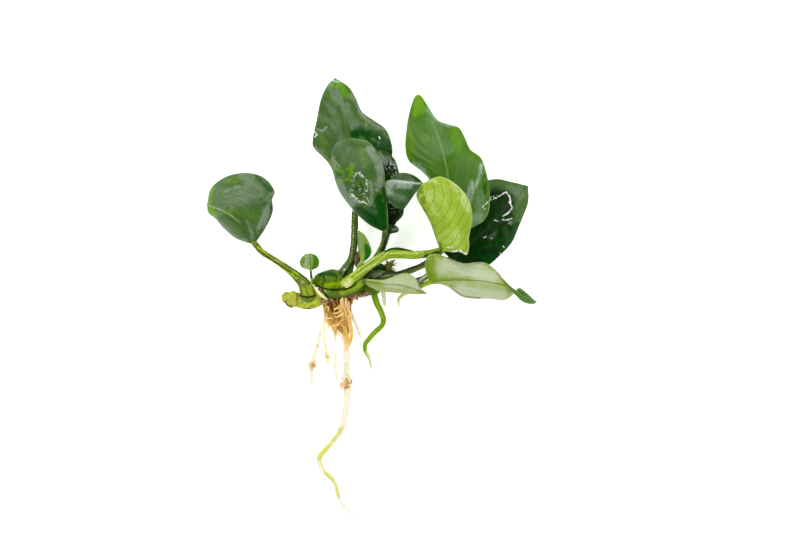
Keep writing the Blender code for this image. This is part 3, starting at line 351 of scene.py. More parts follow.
# Each blade's midrib and margins, from its stalk to its tip, and how far its left and right halves bulge.
BLADES = {
    "leaf_round_left": {
        "midrib": [(-36, 16.4, 12), (-38.8, 22, 13), (-44, 26.4, 12), (-49.2, 29.6, 8.5), (-55.2, 31.6, 1)],
        "left": [
            (-36.8, 16, 12), (-38.4, 16.4, 10), (-43.6, 18.4, 6), (-48, 22, 3.5), (-51.6, 26, 1.8),
            (-54.6, 28.6, 0.8), (-55.2, 31.6, 1)],
        "right": [
            (-35, 17.4, 12), (-31.6, 22.4, 12), (-28.8, 28.8, 11), (-29, 33.8, 10), (-28, 36.8, 9.4),
            (-30.4, 40.8, 8.6), (-34.4, 43.4, 7.8), (-40, 44.3, 7), (-47, 43, 5), (-53.4, 38.4, 2.5),
            (-55.2, 31.6, 1)],
        "bulge": (1, 3.5)},
    "leaf_bud_round": {
        "midrib": [(-13.6, 5.6, 10), (-13.8, 8.8, 11.2), (-14, 12.3, 11)],
        "left": [
            (-14.2, 5.7, 10), (-17.2, 6.8, 10.4), (-17.8, 9.2, 10.6), (-16.4, 11.4, 10.6), (-14, 12.3, 11)],
        "right": [(-13, 5.7, 10), (-10.8, 6.8, 9), (-10.2, 9.2, 9), (-11.6, 11.4, 9.6), (-14, 12.3, 11)],
        "bulge": (0.5, 0.5)},
    "leaf_tall_left": {
        "midrib": [
            (4.8, 32.4, 6), (4.4, 39.6, 7), (3.2, 49.6, 8.5), (1.6, 57.6, 9), (-0.4, 66.4, 8),
            (-2.8, 74.8, 5), (-4, 82.4, 0.5)],
        "left": [
            (4, 32.6, 6), (-1.6, 37.6, 5.5), (-5.6, 46.8, 5), (-8.8, 50.8, 4), (-12.4, 54.4, 3),
            (-12.8, 58, 3), (-11.2, 65.6, 3.5), (-9.6, 73.6, 2.5), (-6.8, 79.6, 1.2), (-4, 82.4, 0.5)],
        "right": [
            (5.6, 32.6, 6), (11.6, 36, 5), (16.4, 42.4, 4.2), (18.4, 49.6, 4.2), (18.8, 54.8, 4.6),
            (16.4, 61.6, 5.5), (11.6, 65.2, 6), (6.8, 68.8, 5), (4, 74.8, 4), (1.2, 79, 2.6),
            (-4, 82.4, 0.5)],
        "bulge": (1.2, 1)},
    "leaf_shaded": {
        "midrib": [
            (18, 23.4, 8.5), (17.6, 28.8, 9.2), (16.8, 35.6, 10), (15.6, 43.6, 10.6), (14.4, 49.6, 10.2),
            (13.2, 53.6, 9.4)],
        "left": [
            (17.2, 23.6, 8.5), (13.6, 28, 8.6), (10.4, 34.8, 9), (8.8, 42.4, 9.4), (8.8, 48.4, 9.4),
            (10.4, 52.4, 9.3), (13.2, 53.6, 9.4)],
        "right": [
            (18.8, 23.6, 8.4), (21.6, 25.6, 8), (23.4, 28.4, 7.6), (23.2, 33.6, 7.4), (22.4, 38.8, 7.6),
            (21.6, 44.4, 8.4), (19.6, 50, 9), (15.8, 53, 9.2), (13.2, 53.6, 9.4)],
        "bulge": (0.6, 0.3)},
    "leaf_front_left": {
        "midrib": [
            (16, 20.8, 15), (14.4, 27.6, 18.5), (11.6, 35.2, 22), (8.8, 42.4, 24.5), (5.6, 49.6, 25.5),
            (3.4, 54.8, 24.5), (2.2, 57.6, 21.6), (2.4, 57.2, 18.6)],
        "left": [
            (15.2, 21, 15), (10, 23.6, 14), (4.8, 28, 13.5), (-0.8, 34.8, 14), (-3.2, 39.6, 15),
            (-4.8, 45.6, 17), (-5.2, 49.6, 18.5), (-4.4, 54, 19.2), (-1.6, 57.2, 19), (2.4, 57.2, 18.2)],
        "right": [
            (16.8, 21, 15), (17.2, 25, 15.8), (16.8, 31.6, 18), (16, 37.6, 19.6), (15.8, 43.6, 21),
            (14.8, 48.8, 22), (12.8, 52.8, 21.6), (10.2, 55.8, 20.4), (7.4, 57.4, 19.2), (2.4, 57.2, 18.2)],
        "bulge": (1.8, 1)},
    "leaf_cupped": {
        "midrib": [(23.2, 30, 12), (25.6, 33.2, 13.2), (28, 36.6, 14.5), (31.4, 39.8, 15)],
        "left": [
            (22.6, 30, 12.4), (20, 30.8, 14.2), (17.2, 34, 15.6), (15.9, 38, 16.2), (16.4, 40.8, 17.4),
            (18.8, 41.4, 19), (22.8, 41.2, 20), (26.8, 40.6, 19), (29.6, 40, 17), (31.4, 39.8, 15)],
        "right": [
            (23.8, 30.6, 10.6), (21.6, 32.6, 10.8), (19.4, 35.6, 11.4), (18, 38.8, 12.2), (18.2, 41.8, 13),
            (20.2, 43.6, 13.8), (23.6, 44.3, 14.4), (27.2, 43.4, 14.8), (29.8, 41.6, 14.8), (31.4, 39.8, 15)],
        "bulge": (1.6, -0.8)},
    "leaf_tall_right": {
        "midrib": [
            (42.8, 18.4, 11), (42.4, 25.6, 12.4), (42, 33.6, 13.6), (41.2, 42.4, 14.2), (39.6, 50.4, 13.6),
            (37.2, 58.4, 11), (34, 67.2, 6.2), (29.4, 75.8, 0.5)],
        "left": [
            (42, 18.6, 11), (38.4, 22.4, 10.4), (35.2, 28.8, 10), (34, 35.6, 10), (33.6, 41.6, 9.6),
            (30.4, 45.2, 8.8), (25.6, 49.2, 7.5), (24.2, 54.4, 6.8), (24.6, 61.6, 6), (25.6, 67.6, 4.4),
            (27, 72.8, 1.8), (28.2, 75.2, 0.9), (29.4, 75.8, 0.5)],
        "right": [
            (43.6, 18.6, 11), (47.2, 20.4, 10.8), (51.2, 22.8, 10.6), (55.2, 25.2, 10.6), (57.4, 29.6, 10.6),
            (57.6, 36.8, 11), (56.6, 43.2, 11.4), (54.4, 50, 11.4), (50, 53.6, 11), (47.8, 58.4, 10.4),
            (45.6, 62.2, 9.4), (42, 63.5, 8.4), (37.2, 65.2, 7), (33.4, 70.6, 4), (31, 74.6, 1.5),
            (29.4, 75.8, 0.5)],
        "bulge": (0.8, 0.8)},
    "leaf_pale_raised": {
        "midrib": [
            (38.6, 13.6, 18.2), (37, 17.6, 21), (34.4, 24.8, 24), (31.2, 30.4, 25.5), (28.9, 35, 25.5),
            (30.4, 39.4, 24.5)],
        "left": [
            (38.8, 14.2, 17.6), (43, 15, 17), (46.6, 20, 17), (47.4, 27, 17.2), (45.4, 34, 17.8),
            (40.6, 39.2, 19), (35, 40.6, 21.6), (30.4, 39.4, 24.5)],
        "right": [
            (39.2, 13.2, 18.8), (42.8, 12.8, 20), (46, 13, 21), (48.4, 11.6, 21.4), (49.4, 15.2, 22),
            (49.3, 18.8, 22.4), (50.6, 25.6, 23), (50, 31.2, 23.6), (47.6, 36, 24), (43.2, 40.2, 24.4),
            (38.4, 42.5, 24.8), (34.4, 41.6, 24.6), (30.4, 39.4, 24.5)],
        "bulge": (-0.5, 3)},
    "leaf_dark_right": {
        "midrib": [
            (41.4, 10.8, 7.5), (48.6, 15.2, 8.2), (54, 19.6, 8.2), (58.8, 24.4, 7.4), (64, 30, 5.4),
            (68.8, 34.8, 3), (73.2, 39.2, 0.5)],
        "left": [
            (39.4, 12.6, 7.3), (41.4, 16.4, 6.4), (44.4, 21.6, 5.4), (46, 28, 4.8), (48.4, 33.6, 4.2),
            (51.6, 37.6, 3.6), (55.6, 40.8, 2.8), (60.8, 41.9, 2.2), (66, 40.9, 2), (73.2, 39.2, 0.5)],
        "right": [
            (43.2, 9.4, 7.3), (48.4, 7.2, 6), (53.2, 6.4, 5), (57.4, 7.6, 4), (62, 11.6, 3),
            (65.2, 14.8, 2.2), (67.2, 17.6, 1.6), (69.2, 22.4, 1), (71.2, 27.2, 0.7), (73.2, 33, 0.5),
            (73.2, 39.2, 0.5)],
        "bulge": (0.6, 1.6)},
    "leaf_twisted_right": {
        "midrib": [
            (34, 0.8, 14.6), (39.2, 1.6, 16), (46, 1.8, 17), (54, 1.4, 16.8), (60, 0.4, 15.2),
            (64.8, -0.8, 12.8), (69.2, -3.2, 9), (73.2, -5.6, 5), (76.8, -7, 0.5)],
        "left": [
            (33.4, 1.8, 14.8), (32, 6.4, 17.6), (32.8, 10.8, 19.8), (36, 12, 20.2), (40, 10.9, 18.6),
            (46.8, 8.3, 14.6), (52, 8.6, 14), (56.4, 8.2, 13.8), (61.2, 4.4, 13.4), (64.4, -0.4, 14.2),
            (67.6, -4, 12), (71.2, -7.2, 7.4), (75.2, -8, 2.4), (76.8, -7, 0.5)],
        "right": [
            (34.6, 0, 14.4), (38, 0, 14.8), (41.6, -1.4, 14.4), (46.8, -5, 12.8), (52, -5.8, 12.2),
            (58, -5.8, 11.6), (63.2, -6.4, 10), (66.6, -4.6, 8.6), (69.4, -1.6, 7.4), (72.6, -3.6, 4.8),
            (75.4, -6.2, 2), (76.8, -7, 0.5)],
        "bulge": (1, 1)},
    "leaf_low_middle": {
        "midrib": [
            (7.6, 1.2, 11.8), (12, 0.6, 12.8), (17.2, 0, 13.8), (22, -0.4, 14.4), (26.8, -1.6, 14.6),
            (32.8, -3.8, 13)],
        "left": [
            (7.6, 2, 11.8), (11.2, 1.8, 12.2), (15.2, 1.6, 13), (19.2, 2.8, 13.4), (23.2, 4.2, 13.6),
            (26.4, 3.7, 14), (28.5, 1.8, 14.2), (29.9, -1.4, 14), (32.8, -3.8, 13)],
        "right": [
            (7.8, 0.4, 11.6), (10.8, -1.4, 11.8), (14.8, -2.8, 12.2), (20, -3.4, 12.4), (25.2, -3.8, 12.6),
            (29.2, -4, 12.8), (32.8, -3.8, 13)],
        "bulge": (0.5, 0.4)},
    "leaf_young": {
        "midrib": [(7.2, 8.9, 12.6), (7.6, 12.8, 14), (7.2, 16.4, 15), (6, 19.4, 15.4), (5, 21.6, 15.4)],
        "left": [(6.4, 9.2, 12.6), (5.6, 12.8, 13.5), (5.2, 16.4, 14.3), (4.9, 19.6, 15), (5, 21.6, 15.4)],
        "right": [
            (8.2, 9.4, 12.8), (9.8, 10.8, 13.6), (10.6, 13.2, 13.8), (9.6, 16.4, 14), (7.6, 19.8, 14.8),
            (5, 21.6, 15.4)],
        "bulge": (0.3, 0.5)},
    "bract_brown": {
        "midrib": [(5, 6.8, 9), (4.9, 9, 9.8), (5.2, 11.4, 10.6), (5.6, 13.6, 11.2)],
        "left": [(4.4, 6.9, 8.8), (3.8, 9, 9.4), (4.2, 11.4, 10.2), (5.6, 13.6, 11.2)],
        "right": [(5.6, 6.9, 8.8), (6, 9, 9.4), (6.2, 11.4, 10.2), (5.6, 13.6, 11.2)], "bulge": (0.3, 0.3)},
    "bract_grey": {
        "midrib": [(17, 20.2, 12), (18.6, 21.3, 12.8), (20.2, 22, 13), (21.6, 22, 12.4)],
        "left": [(16.8, 20.9, 12), (18, 22.4, 12.6), (20, 23.3, 12.6), (21.6, 22, 12.4)],
        "right": [(17.4, 19.8, 12), (19.2, 20.3, 12.6), (21, 20.8, 12.6), (21.6, 22, 12.4)],
        "bulge": (0.3, 0.3)},
}

# The middle line of each stalk, stem and root, with its radius.
TUBES = {
    "rhizome_main": [
        (-11.6, 0.4, 3.4, 1.8), (-10, 1.2, 3.6, 2.9), (-7.6, 1.6, 3.8, 3.7), (-5.2, 1.8, 3.9, 4.1),
        (-2.8, 1.2, 3.7, 3.8), (0.4, 0.2, 3.5, 4.1), (3, -0.6, 3.4, 3.8), (5.6, -1.2, 3.4, 4),
        (8.4, -1.2, 3.3, 3.5), (10.8, -0.6, 3.2, 3.8), (13.4, 0.6, 3.1, 3.3), (15.6, 1.8, 3, 3),
        (18.4, 3, 2.8, 2.2)],
    "rhizome_branch": [
        (-23, -5.4, 3.4, 2.4), (-22, -5.8, 3.4, 3.4), (-20.4, -6.2, 3.3, 3.4), (-18.6, -6.6, 3, 2.6),
        (-16.4, -7.2, 2.9, 2.8), (-13.6, -7.2, 2.9, 2.9), (-11, -6.2, 2.9, 2.7), (-8.6, -4, 3, 2.4)],
    "stalk_round_left": [
        (-14.6, -4.8, 4.2, 3.2), (-15.2, -2, 5.2, 3), (-17, 1, 6.8, 2.3), (-20.4, 4.2, 8.2, 1.7),
        (-24.6, 7.4, 9.5, 1.35), (-29.2, 10.4, 10.8, 1.2), (-33.2, 13, 11.6, 1.2), (-36, 16.4, 12, 1.2)],
    "stalk_bud_round": [
        (-14.4, -2.4, 6, 0.8), (-13.2, 0.2, 8.4, 0.6), (-13.3, 2.8, 9.4, 0.5), (-13.6, 5.6, 10, 0.5)],
    "stalk_tall_left": [
        (0.2, 2, 5, 2.2), (1, 4.8, 6.6, 2.1), (2.4, 8.8, 7.2, 1.7), (3.4, 13.6, 7.2, 1.45),
        (3.9, 19.6, 7, 1.35), (4, 27.6, 6.4, 1.3), (4.8, 32.4, 6, 1.1)],
    "stalk_shaded": [
        (11, 1.2, 3.2, 1.4), (12.4, 6.4, 3.4, 1.1), (14.4, 12, 4, 1.1), (16.4, 17.6, 5.5, 1),
        (18, 23.4, 8.4, 0.9)],
    "stalk_front_left": [
        (4.6, 1.6, 5.2, 1.6), (8.4, 6.4, 7.6, 1.45), (11.6, 9.2, 8.8, 1.4), (14, 12.8, 10.2, 1.4),
        (15.6, 16.8, 12.2, 1.3), (16, 20.8, 15, 1.1)],
    "stalk_cupped": [
        (7, 1.2, 3.8, 0.8), (9.4, 6, 4.2, 0.7), (12.6, 11, 6.4, 0.65), (15.2, 15.6, 8.2, 0.6),
        (17.6, 20.4, 10, 0.55), (19.4, 23.6, 11, 0.55), (21.2, 26.8, 11.4, 0.55), (23.2, 30, 12, 0.5)],
    "stalk_tall_right": [
        (12.6, 1.2, 4.8, 1.6), (16, 3.6, 7.2, 1.4), (21.2, 3.8, 8, 1.3), (26.4, 5.5, 8.6, 1.3),
        (31.6, 7.8, 9.3, 1.25), (37.2, 12, 10.2, 1.2), (41.2, 15.2, 10.8, 1.1), (42.8, 18.4, 11, 1.1)],
    "stalk_pale_raised": [
        (0, 0.2, 8.6, 2), (2, 1.2, 9.8, 2.4), (4, 2.8, 10.5, 2.1), (6.9, 5.2, 11.3, 1.9), (12, 9, 12.6, 1.85),
        (16.8, 11.7, 13.6, 1.75), (22, 11.9, 14.4, 1.7), (28, 11.6, 15, 1.65), (34, 12.2, 16, 1.5),
        (38.6, 13.6, 18.2, 1.3)],
    "stalk_dark_right": [
        (14.4, 0.6, 4.2, 1.4), (18, -0.2, 4.8, 1.3), (22, 0, 4.8, 1.2), (28, 1.2, 5.2, 1.2),
        (31.6, 2.4, 5.7, 1.2), (34.8, 4.8, 6.2, 1.2), (40, 8.8, 7, 1.2), (44.4, 11.2, 7.5, 1.1)],
    "stalk_twisted_right": [
        (12.6, -1.4, 5, 1.5), (17.2, -1.2, 8, 1.3), (22, -1.4, 9, 1.2), (26.8, -1.6, 9.8, 1.2),
        (30.4, -0.6, 11.4, 1.15), (34, 0.8, 14.6, 1.1)],
    "stalk_low_middle": [
        (-8.6, -2.6, 4.2, 1.6), (-5.2, -4.2, 5, 1.6), (-1.2, -4, 6.4, 1.6), (2, -3, 7.8, 1.5),
        (4.8, -1.2, 9.6, 1.4), (6.4, 0.2, 10.9, 1.3), (7.6, 1.2, 11.8, 1.1)],
    "stalk_young": [(5.4, 4.6, 10.6, 0.9), (5.5, 6.8, 11, 0.8), (6.2, 8, 11.6, 0.8), (7.2, 8.9, 12.6, 0.7)],
    "bract_dried": [(15.2, 3, 2.4, 1.2), (16.6, 6.6, 3.8, 1.2), (18.2, 8, 4.6, 1), (19.8, 9.6, 5.4, 0.3)],
    "root_long": [
        (0, -14, 3, 1.5), (0.4, -24.4, 1.75, 1.5), (0.8, -32.4, 1.55, 1.45), (0.6, -39.6, 1.75, 1.7),
        (0.8, -46.4, 1.5, 1.4), (0, -52.4, 1.45, 1.35), (-1.2, -57.2, 1.35, 1.25), (-3.6, -61.6, 1.25, 1.15),
        (-6.8, -65.2, 1.15, 1.1), (-9.6, -68.4, 1.15, 1.05), (-10.4, -70.8, 1.15, 1.05),
        (-8.8, -74.4, 1.1, 1), (-5.6, -77.4, 1, 0.95), (-3.6, -80.4, 0.95, 0.9), (-2.8, -84.4, 0.9, 0.85),
        (-1.2, -87.6, 0.8, 0.7), (1.2, -90.4, 0.6, 0.5), (3.6, -92.8, 0.4, 0.3)],
    "root_green": [
        (11.2, -2, 3.6, 1.2), (12, -5.2, 3.6, 1.25), (12.8, -8, 2.8, 1.2), (14.4, -11.2, 2, 1.15),
        (15.4, -14.4, 1.4, 1.1), (14.6, -16.8, 1.2, 1.05), (12, -19.2, 1.15, 1.05), (9.6, -22, 1.1, 1),
        (8.1, -24, 1.1, 0.95), (8, -26, 1, 0.9), (9.2, -28.8, 0.8, 0.75), (10, -31.2, 0.6, 0.5),
        (10.6, -34, 0.35, 0.25)],
    "root_pale_left": [
        (-7, -15, 2.4, 1.1), (-7.6, -20, 1.4, 1.1), (-7.4, -24.4, 1.2, 1.05), (-7.2, -28, 1.1, 0.9),
        (-6.8, -32, 0.7, 0.5)],
    "root_far_left": [
        (-8, -12, 2, 0.8), (-10, -19.6, 0.9, 0.7), (-11, -24.4, 0.8, 0.7), (-12.4, -28.8, 0.8, 0.7),
        (-13.2, -32.8, 1.3, 1.3), (-13.3, -35, 0.8, 0.7), (-13.2, -40, 0.5, 0.4)],
    "root_middle": [(-4, -17, 2, 0.9), (-4.4, -24.4, 1, 0.9), (-4, -31.2, 0.9, 0.8), (-3.2, -38.4, 0.5, 0.4)],
    "root_right_thin": [
        (1, -9, 2.4, 0.8), (4.2, -15.6, 1.1, 0.7), (5.6, -19.6, 0.8, 0.6), (6.4, -21.4, 0.5, 0.4)],
    "root_right_short": [(14.6, -0.4, 2.4, 0.9), (15.6, -5.2, 1.6, 0.85), (15.9, -8.4, 0.9, 0.6)],
    "root_hook_right": [
        (16.6, 2.2, 2.2, 0.9), (21, -1.4, 1.4, 0.8), (24.8, -3.4, 1.2, 0.8), (23, -4.6, 1, 0.8),
        (21.4, -6.4, 0.9, 0.7), (21.6, -8.8, 0.5, 0.35)],
    "root_strand": [
        (-12.6, -0.4, 6.4, 0.4), (-11, -2.8, 7, 0.6), (-9.2, -4.6, 7.1, 0.6), (-7.4, -6, 6.4, 0.4)],
}

# How each blade looks, from its own values over the plain ones. "side" is the side that faces the camera, "veins"
# how many side veins leave the midrib on each side, "slant" how far they run towards the tip, "pucker" how far the
# blade rises between them, "wave" the height and number of waves along the margins, and "rib" the height of the
# midrib. "veins_show" is how clear the side veins are, and "rib_shows" where the midrib starts and ends to show and
# how clear it is. The strokes are soft patches, each with the points of a line, its half width and its strength:
# lighter green under "fresh", deep green and painted shade under "deep", painted sheen (on a few blades a
# paler tint) under "frost", rippled wetness with white painted glint specks under "wet", and thin
# painted glint lines on wet film, glossier and raised, under "glint_film". Sheen stronger than 1 turns to painted
# highlight.
PLAIN_LOOK = {"finish": "leaf_dark", "side": "upper", "veins": 9, "slant": 0.3, "wave": (0.5, 2.5),
              "rib": 0.3, "pucker": 0.12, "veins_show": 1, "rib_shows": (-0.2, 1.1, 1), "fresh": [],
              "deep": [], "frost": [], "wet": [], "glint_film": []}
LOOKS = {
    "leaf_round_left": {
        "wave": (0.5, 1.6), "veins": 10, "slant": 0.24, "veins_show": 0.35, "rib_shows": (0.3, 1.1, 1.3),
        "fresh": [
            ([(-54.6, 37), (-55, 31.6), (-53, 27.6)], 3.8, 1), ([(-48, 41), (-42, 41.4)], 1.6, 0.35),
            ([(-53, 29), (-46, 28.6)], 2, 0.5)],
        "deep": [
            ([(-35.2, 43.2), (-33, 40.2), (-29.6, 37.4)], 1.9, 0.6), ([(-34, 33), (-35, 26)], 3, 0.34),
            ([(-41, 32), (-44, 24)], 4, 0.16), ([(-51.4, 29.2), (-45.6, 26)], 1, 0.4),
            ([(-54.2, 27), (-49, 21.8), (-42, 17.2)], 0.8, 1),
            ([(-28.9, 34), (-29.1, 28.1), (-31.4, 21.8), (-34.7, 18.1)], 0.8, 1)],
        "frost": [
            ([(-48, 34), (-40, 36), (-35, 38)], 7, 0.34), ([(-47.6, 37), (-42.2, 38.9)], 1.2, 0.6),
            ([(-46.4, 37.4), (-43.6, 38.4)], 0.5, 1), ([(-49.7, 37.3), (-45.6, 35.6)], 0.9, 0.5),
            ([(-41, 43), (-36.4, 43), (-40, 38.6)], 2.4, 0.4),
            ([(-42.6, 37.7), (-38, 35.2), (-39.7, 33.6)], 1.1, 0.5), ([(-38, 40.6), (-33, 37.3)], 1.6, 0.35),
            ([(-28, 36.8), (-29.7, 35.6), (-31.4, 33.1)], 0.9, 0.6), ([(-28, 36.6), (-29.4, 35.8)], 0.5, 0.9),
            ([(-54.8, 31.5), (-50.2, 29.9), (-47.4, 28.8), (-44.6, 26.8)], 0.36, 1.2),
            ([(-29.6, 33.2), (-31.4, 28.9), (-33.2, 24.8), (-34.3, 22.3)], 1.3, 0.6),
            ([(-30.6, 29), (-32.4, 24)], 2.2, 0.6), ([(-39, 25.4), (-37.4, 20.6), (-36.2, 17)], 0.5, 0.5),
            ([(-37.6, 24.6), (-36.2, 20)], 0.45, 0.35), ([(-37.4, 21), (-36.5, 17.2)], 1.3, 0.45),
            ([(-35.8, 23.4), (-34.3, 19.8)], 0.5, 0.3),
            ([(-52.2, 26.4), (-48.9, 23.2), (-44.7, 18.9), (-39.7, 16.8)], 1.5, 0.5)]},
    "leaf_bud_round": {
        "finish": "leaf_bud", "wave": (0.05, 1), "veins": 4, "rib": 0.1, "pucker": 0.05,
        "deep": [
            ([(-11.8, 11), (-11.6, 8.4), (-12.4, 6.4)], 1.6, 0.8), ([(-16.4, 8), (-16, 10.6)], 1.2, 0.45)],
        "fresh": [([(-16, 6.4), (-14.4, 6)], 1.2, 0.9), ([(-13.2, 11), (-13.1, 7)], 0.4, 0.7)],
        "frost": [([(-15, 9.6), (-15.6, 8), (-14.4, 7)], 1.7, 0.4), ([(-14, 11.4), (-15.4, 10.8)], 1, 0.5)]},
    "leaf_tall_left": {
        "veins": 11, "veins_show": 0.5, "rib_shows": (0.3, 0.95, 0.35), "rib": 0.2,
        "fresh": [
            ([(-5.4, 80), (-4, 82), (-1.8, 79.4)], 2.4, 1), ([(-1.8, 79), (0.8, 75.4)], 2, 0.6),
            ([(-10, 60), (-8, 56)], 2, 0.3)],
        "deep": [
            ([(4, 60), (6, 61), (9, 60), (13, 59), (17, 56)], 3.2, 1), ([(8, 56), (15, 53)], 4.6, 1),
            ([(17, 52), (18, 46)], 4, 1), ([(-9, 50), (-5, 45)], 1.4, 0.4)],
        "frost": [
            ([(-3.6, 78.4), (-2, 74.6), (-0.5, 70.4), (1.4, 65.7), (3, 61.5)], 1.4, 0.42),
            ([(-6.2, 79.3), (-4.3, 75.6), (-2.9, 72.3)], 2.1, 0.34),
            ([(-7.6, 72.3), (-4.8, 68.5)], 1.8, 0.18), ([(-10.4, 68), (-8, 65.2)], 2, 0.18),
            ([(0.8, 70.8), (2.3, 65.2), (5.6, 62)], 2.6, 0.35), ([(-4, 64), (-1, 58)], 3, 0.22),
            ([(2.8, 75.6), (5.6, 70), (7, 67.2), (11.2, 63.8), (15.4, 62)], 1.3, 0.52),
            ([(13, 62.4), (15.8, 62)], 0.9, 0.5), ([(8.4, 65.2), (8.6, 62.9)], 0.4, 0.7),
            ([(-11.3, 62), (-9, 61), (-7.3, 62.9)], 0.7, 1),
            ([(-12, 54.4), (-8.8, 50.6), (-5.4, 46.4)], 0.9, 0.6), ([(-9.4, 53), (-6, 48)], 1.6, 0.3),
            ([(13.6, 56.8), (13, 54)], 0.8, 0.35), ([(-4.8, 81.4), (-2.6, 80.8)], 0.5, 1.6)],
        "glint_film": [
            ([(-12.2, 61), (-11, 59.8), (-12.2, 58.6)], 0.36, 1), ([(13.8, 58.8), (13.9, 57.8)], 0.4, 1)]},
    "leaf_shaded": {
        "finish": "leaf_deep", "veins": 8, "rib_shows": (-0.2, 1.1, 0.1), "rib": 0.1,
        "fresh": [([(13.6, 52.8), (18, 50.4), (21, 46)], 1.4, 0.6), ([(22.6, 27), (23, 33)], 0.7, 0.6)],
        "frost": [
            ([(13.6, 51), (16, 49)], 2.4, 0.9), ([(17, 50.6), (20, 47)], 1, 0.5),
            ([(20.6, 24.6), (22.2, 29)], 0.7, 0.5)],
        "wet": [([(18, 47), (20, 43)], 3, 0.8), ([(18.4, 33), (19.4, 28.4)], 1.7, 0.9)]},
    "leaf_front_left": {
        "veins": 10, "veins_show": 0.25, "rib_shows": (-0.2, 1.1, 0.0), "rib": 0.1, "pucker": 0.06,
        "fresh": [
            ([(-2.8, 45.4), (-0.2, 44.2)], 1.1, 0.9), ([(-2.2, 41.2), (2, 41.8)], 1.1, 0.9),
            ([(3, 47), (2.5, 43.4)], 1.5, 1), ([(1, 45.6)], 0.9, 1), ([(7, 53), (8, 47)], 1.6, 0.35),
            ([(-5, 50), (-4.4, 45), (-2.9, 39), (1.6, 30), (5, 27)], 0.6, 1)],
        "deep": [
            ([(5.4, 29.2), (10, 26.6), (15, 22.6)], 3.8, 1), ([(13.4, 34), (15, 26)], 3.2, 1),
            ([(10.4, 29.6), (13, 26)], 3, 0.9), ([(15.4, 38), (16.6, 30)], 1.2, 1),
            ([(4.6, 41), (5, 37), (6.4, 34.6)], 2, 0.5), ([(6, 40), (6.8, 36)], 2.4, 0.5),
            ([(2, 48), (4, 45)], 1.2, 0.4)],
        "frost": [
            ([(-2.6, 40.4), (0, 35.6), (2.8, 32.4)], 3, 0.54), ([(-4.4, 50.4), (-3.6, 46)], 0.9, 0.8),
            ([(-3.5, 48.4), (-2.2, 46.8)], 0.8, 0.9), ([(-2.9, 45.6)], 0.6, 0.9),
            ([(-1.2, 42.6), (-0.4, 43)], 0.6, 0.7),
            ([(9.6, 53.4), (12.8, 48.8), (14.4, 44.8), (13.8, 39.6)], 2.3, 0.7), ([(12.8, 37.4)], 1, 0.8),
            ([(10.8, 54), (14.4, 49), (15.8, 44)], 0.4, 0.9),
            ([(10.3, 40.2), (10.8, 35.6), (9.8, 30), (12.1, 28.2)], 1.5, 0.55),
            ([(0, 52), (6, 48)], 6, 0.18)],
        "wet": [
            ([(4, 42.4), (5.2, 44.4), (8.4, 42), (9.2, 38), (7.6, 36.4), (9.2, 32.4), (6, 32.8), (2.8, 34.8),
              (3.2, 40.8), (4, 42.4)], 1.1, 0.95), ([(5.6, 39), (6, 36)], 1.6, 0.45)],
        "glint_film": [
            ([(2.9, 35.6), (4.4, 34.2)], 0.45, 1), ([(5.6, 33), (8, 32.4), (9, 31.6)], 0.4, 1),
            ([(4.2, 42.6), (5, 44.2), (6, 44)], 0.4, 0.9), ([(8.6, 41.4), (9, 38.4)], 0.4, 0.8)]},
    "leaf_cupped": {
        "finish": "leaf_cup", "side": "under", "wave": (0.1, 1), "veins": 6, "rib": 0.15, "pucker": 0.08,
        "fresh": [([(23.8, 32.6)], 1.6, 0.8), ([(21, 34)], 1, 0.5)],
        "deep": [
            ([(21, 35), (23, 36)], 2.6, 0.45), ([(27, 43), (29.6, 41)], 1, 0.8),
            ([(25, 33), (27, 36)], 1.4, 0.4)],
        "frost": [
            ([(16.6, 39.6), (19, 41.2), (22, 40.8), (26, 40.4), (30, 40)], 0.9, 1.3),
            ([(17.4, 39.4), (17.6, 36.6)], 2.4, 1.05), ([(18.6, 39.4), (26, 39)], 2, 0.7),
            ([(20, 42.6), (27, 42.2)], 2.2, 0.4), ([(20.4, 35), (24, 34)], 2.4, 0.25)]},
    "leaf_tall_right": {
        "finish": "leaf_mid", "veins": 12, "veins_show": 0.6, "rib_shows": (-0.2, 0.92, 0.8),
        "fresh": [
            ([(29.4, 75.4), (30, 71)], 4.4, 1), ([(28.6, 74), (28, 68)], 2, 1),
            ([(44, 61), (45, 54)], 3.6, 0.5), ([(25, 52), (27, 48)], 2, 0.5),
            ([(25.6, 61), (26.6, 53)], 3, 0.5), ([(32, 58)], 3, 0.4), ([(51, 50)], 2.6, 0.4)],
        "deep": [
            ([(55.6, 43), (55.8, 36)], 1.4, 0.6), ([(52.4, 36), (55, 30)], 1.6, 0.4),
            ([(34, 60), (37, 54)], 2.4, 0.12)],
        "frost": [
            ([(33.6, 70), (37, 66), (43, 63.4)], 2.2, 0.75),
            ([(54.4, 47.6), (53.4, 42), (51.6, 38.4), (50, 33.6)], 1.1, 1.05),
            ([(51, 40), (48.6, 31)], 2.2, 0.95), ([(53.6, 36), (54, 26)], 3, 0.3),
            ([(27.6, 48), (31, 45.2), (33, 42)], 1.8, 0.85), ([(35, 64), (40, 54)], 5, 0.18),
            ([(46, 50), (47, 38)], 5, 0.08), ([(54, 27), (49, 24.4)], 3.6, 0.52)],
        "glint_film": [
            ([(55, 30.6), (56.4, 32.2), (57.2, 33.2)], 0.42, 1), ([(55.4, 29.4), (56.6, 30.8)], 0.36, 0.9)]},
    "leaf_pale_raised": {
        "finish": "leaf_bright", "side": "under", "slant": 0.46, "wave": (0.25, 2), "rib": 0.35,
        "pucker": 0.16, "fresh": [([(44, 20), (46, 14)], 3, 0.3), ([(38, 36), (42, 28), (44, 22)], 3, 0.35)],
        "deep": [
            ([(30, 38), (31.4, 33)], 2.4, 0.7),
            ([(29.6, 38), (28.9, 35), (31.2, 30.4), (34.4, 24.8), (37, 17.6), (38.6, 14)], 0.8, 1),
            ([(47, 24), (45.6, 17)], 0.9, 0.5)],
        "frost": [
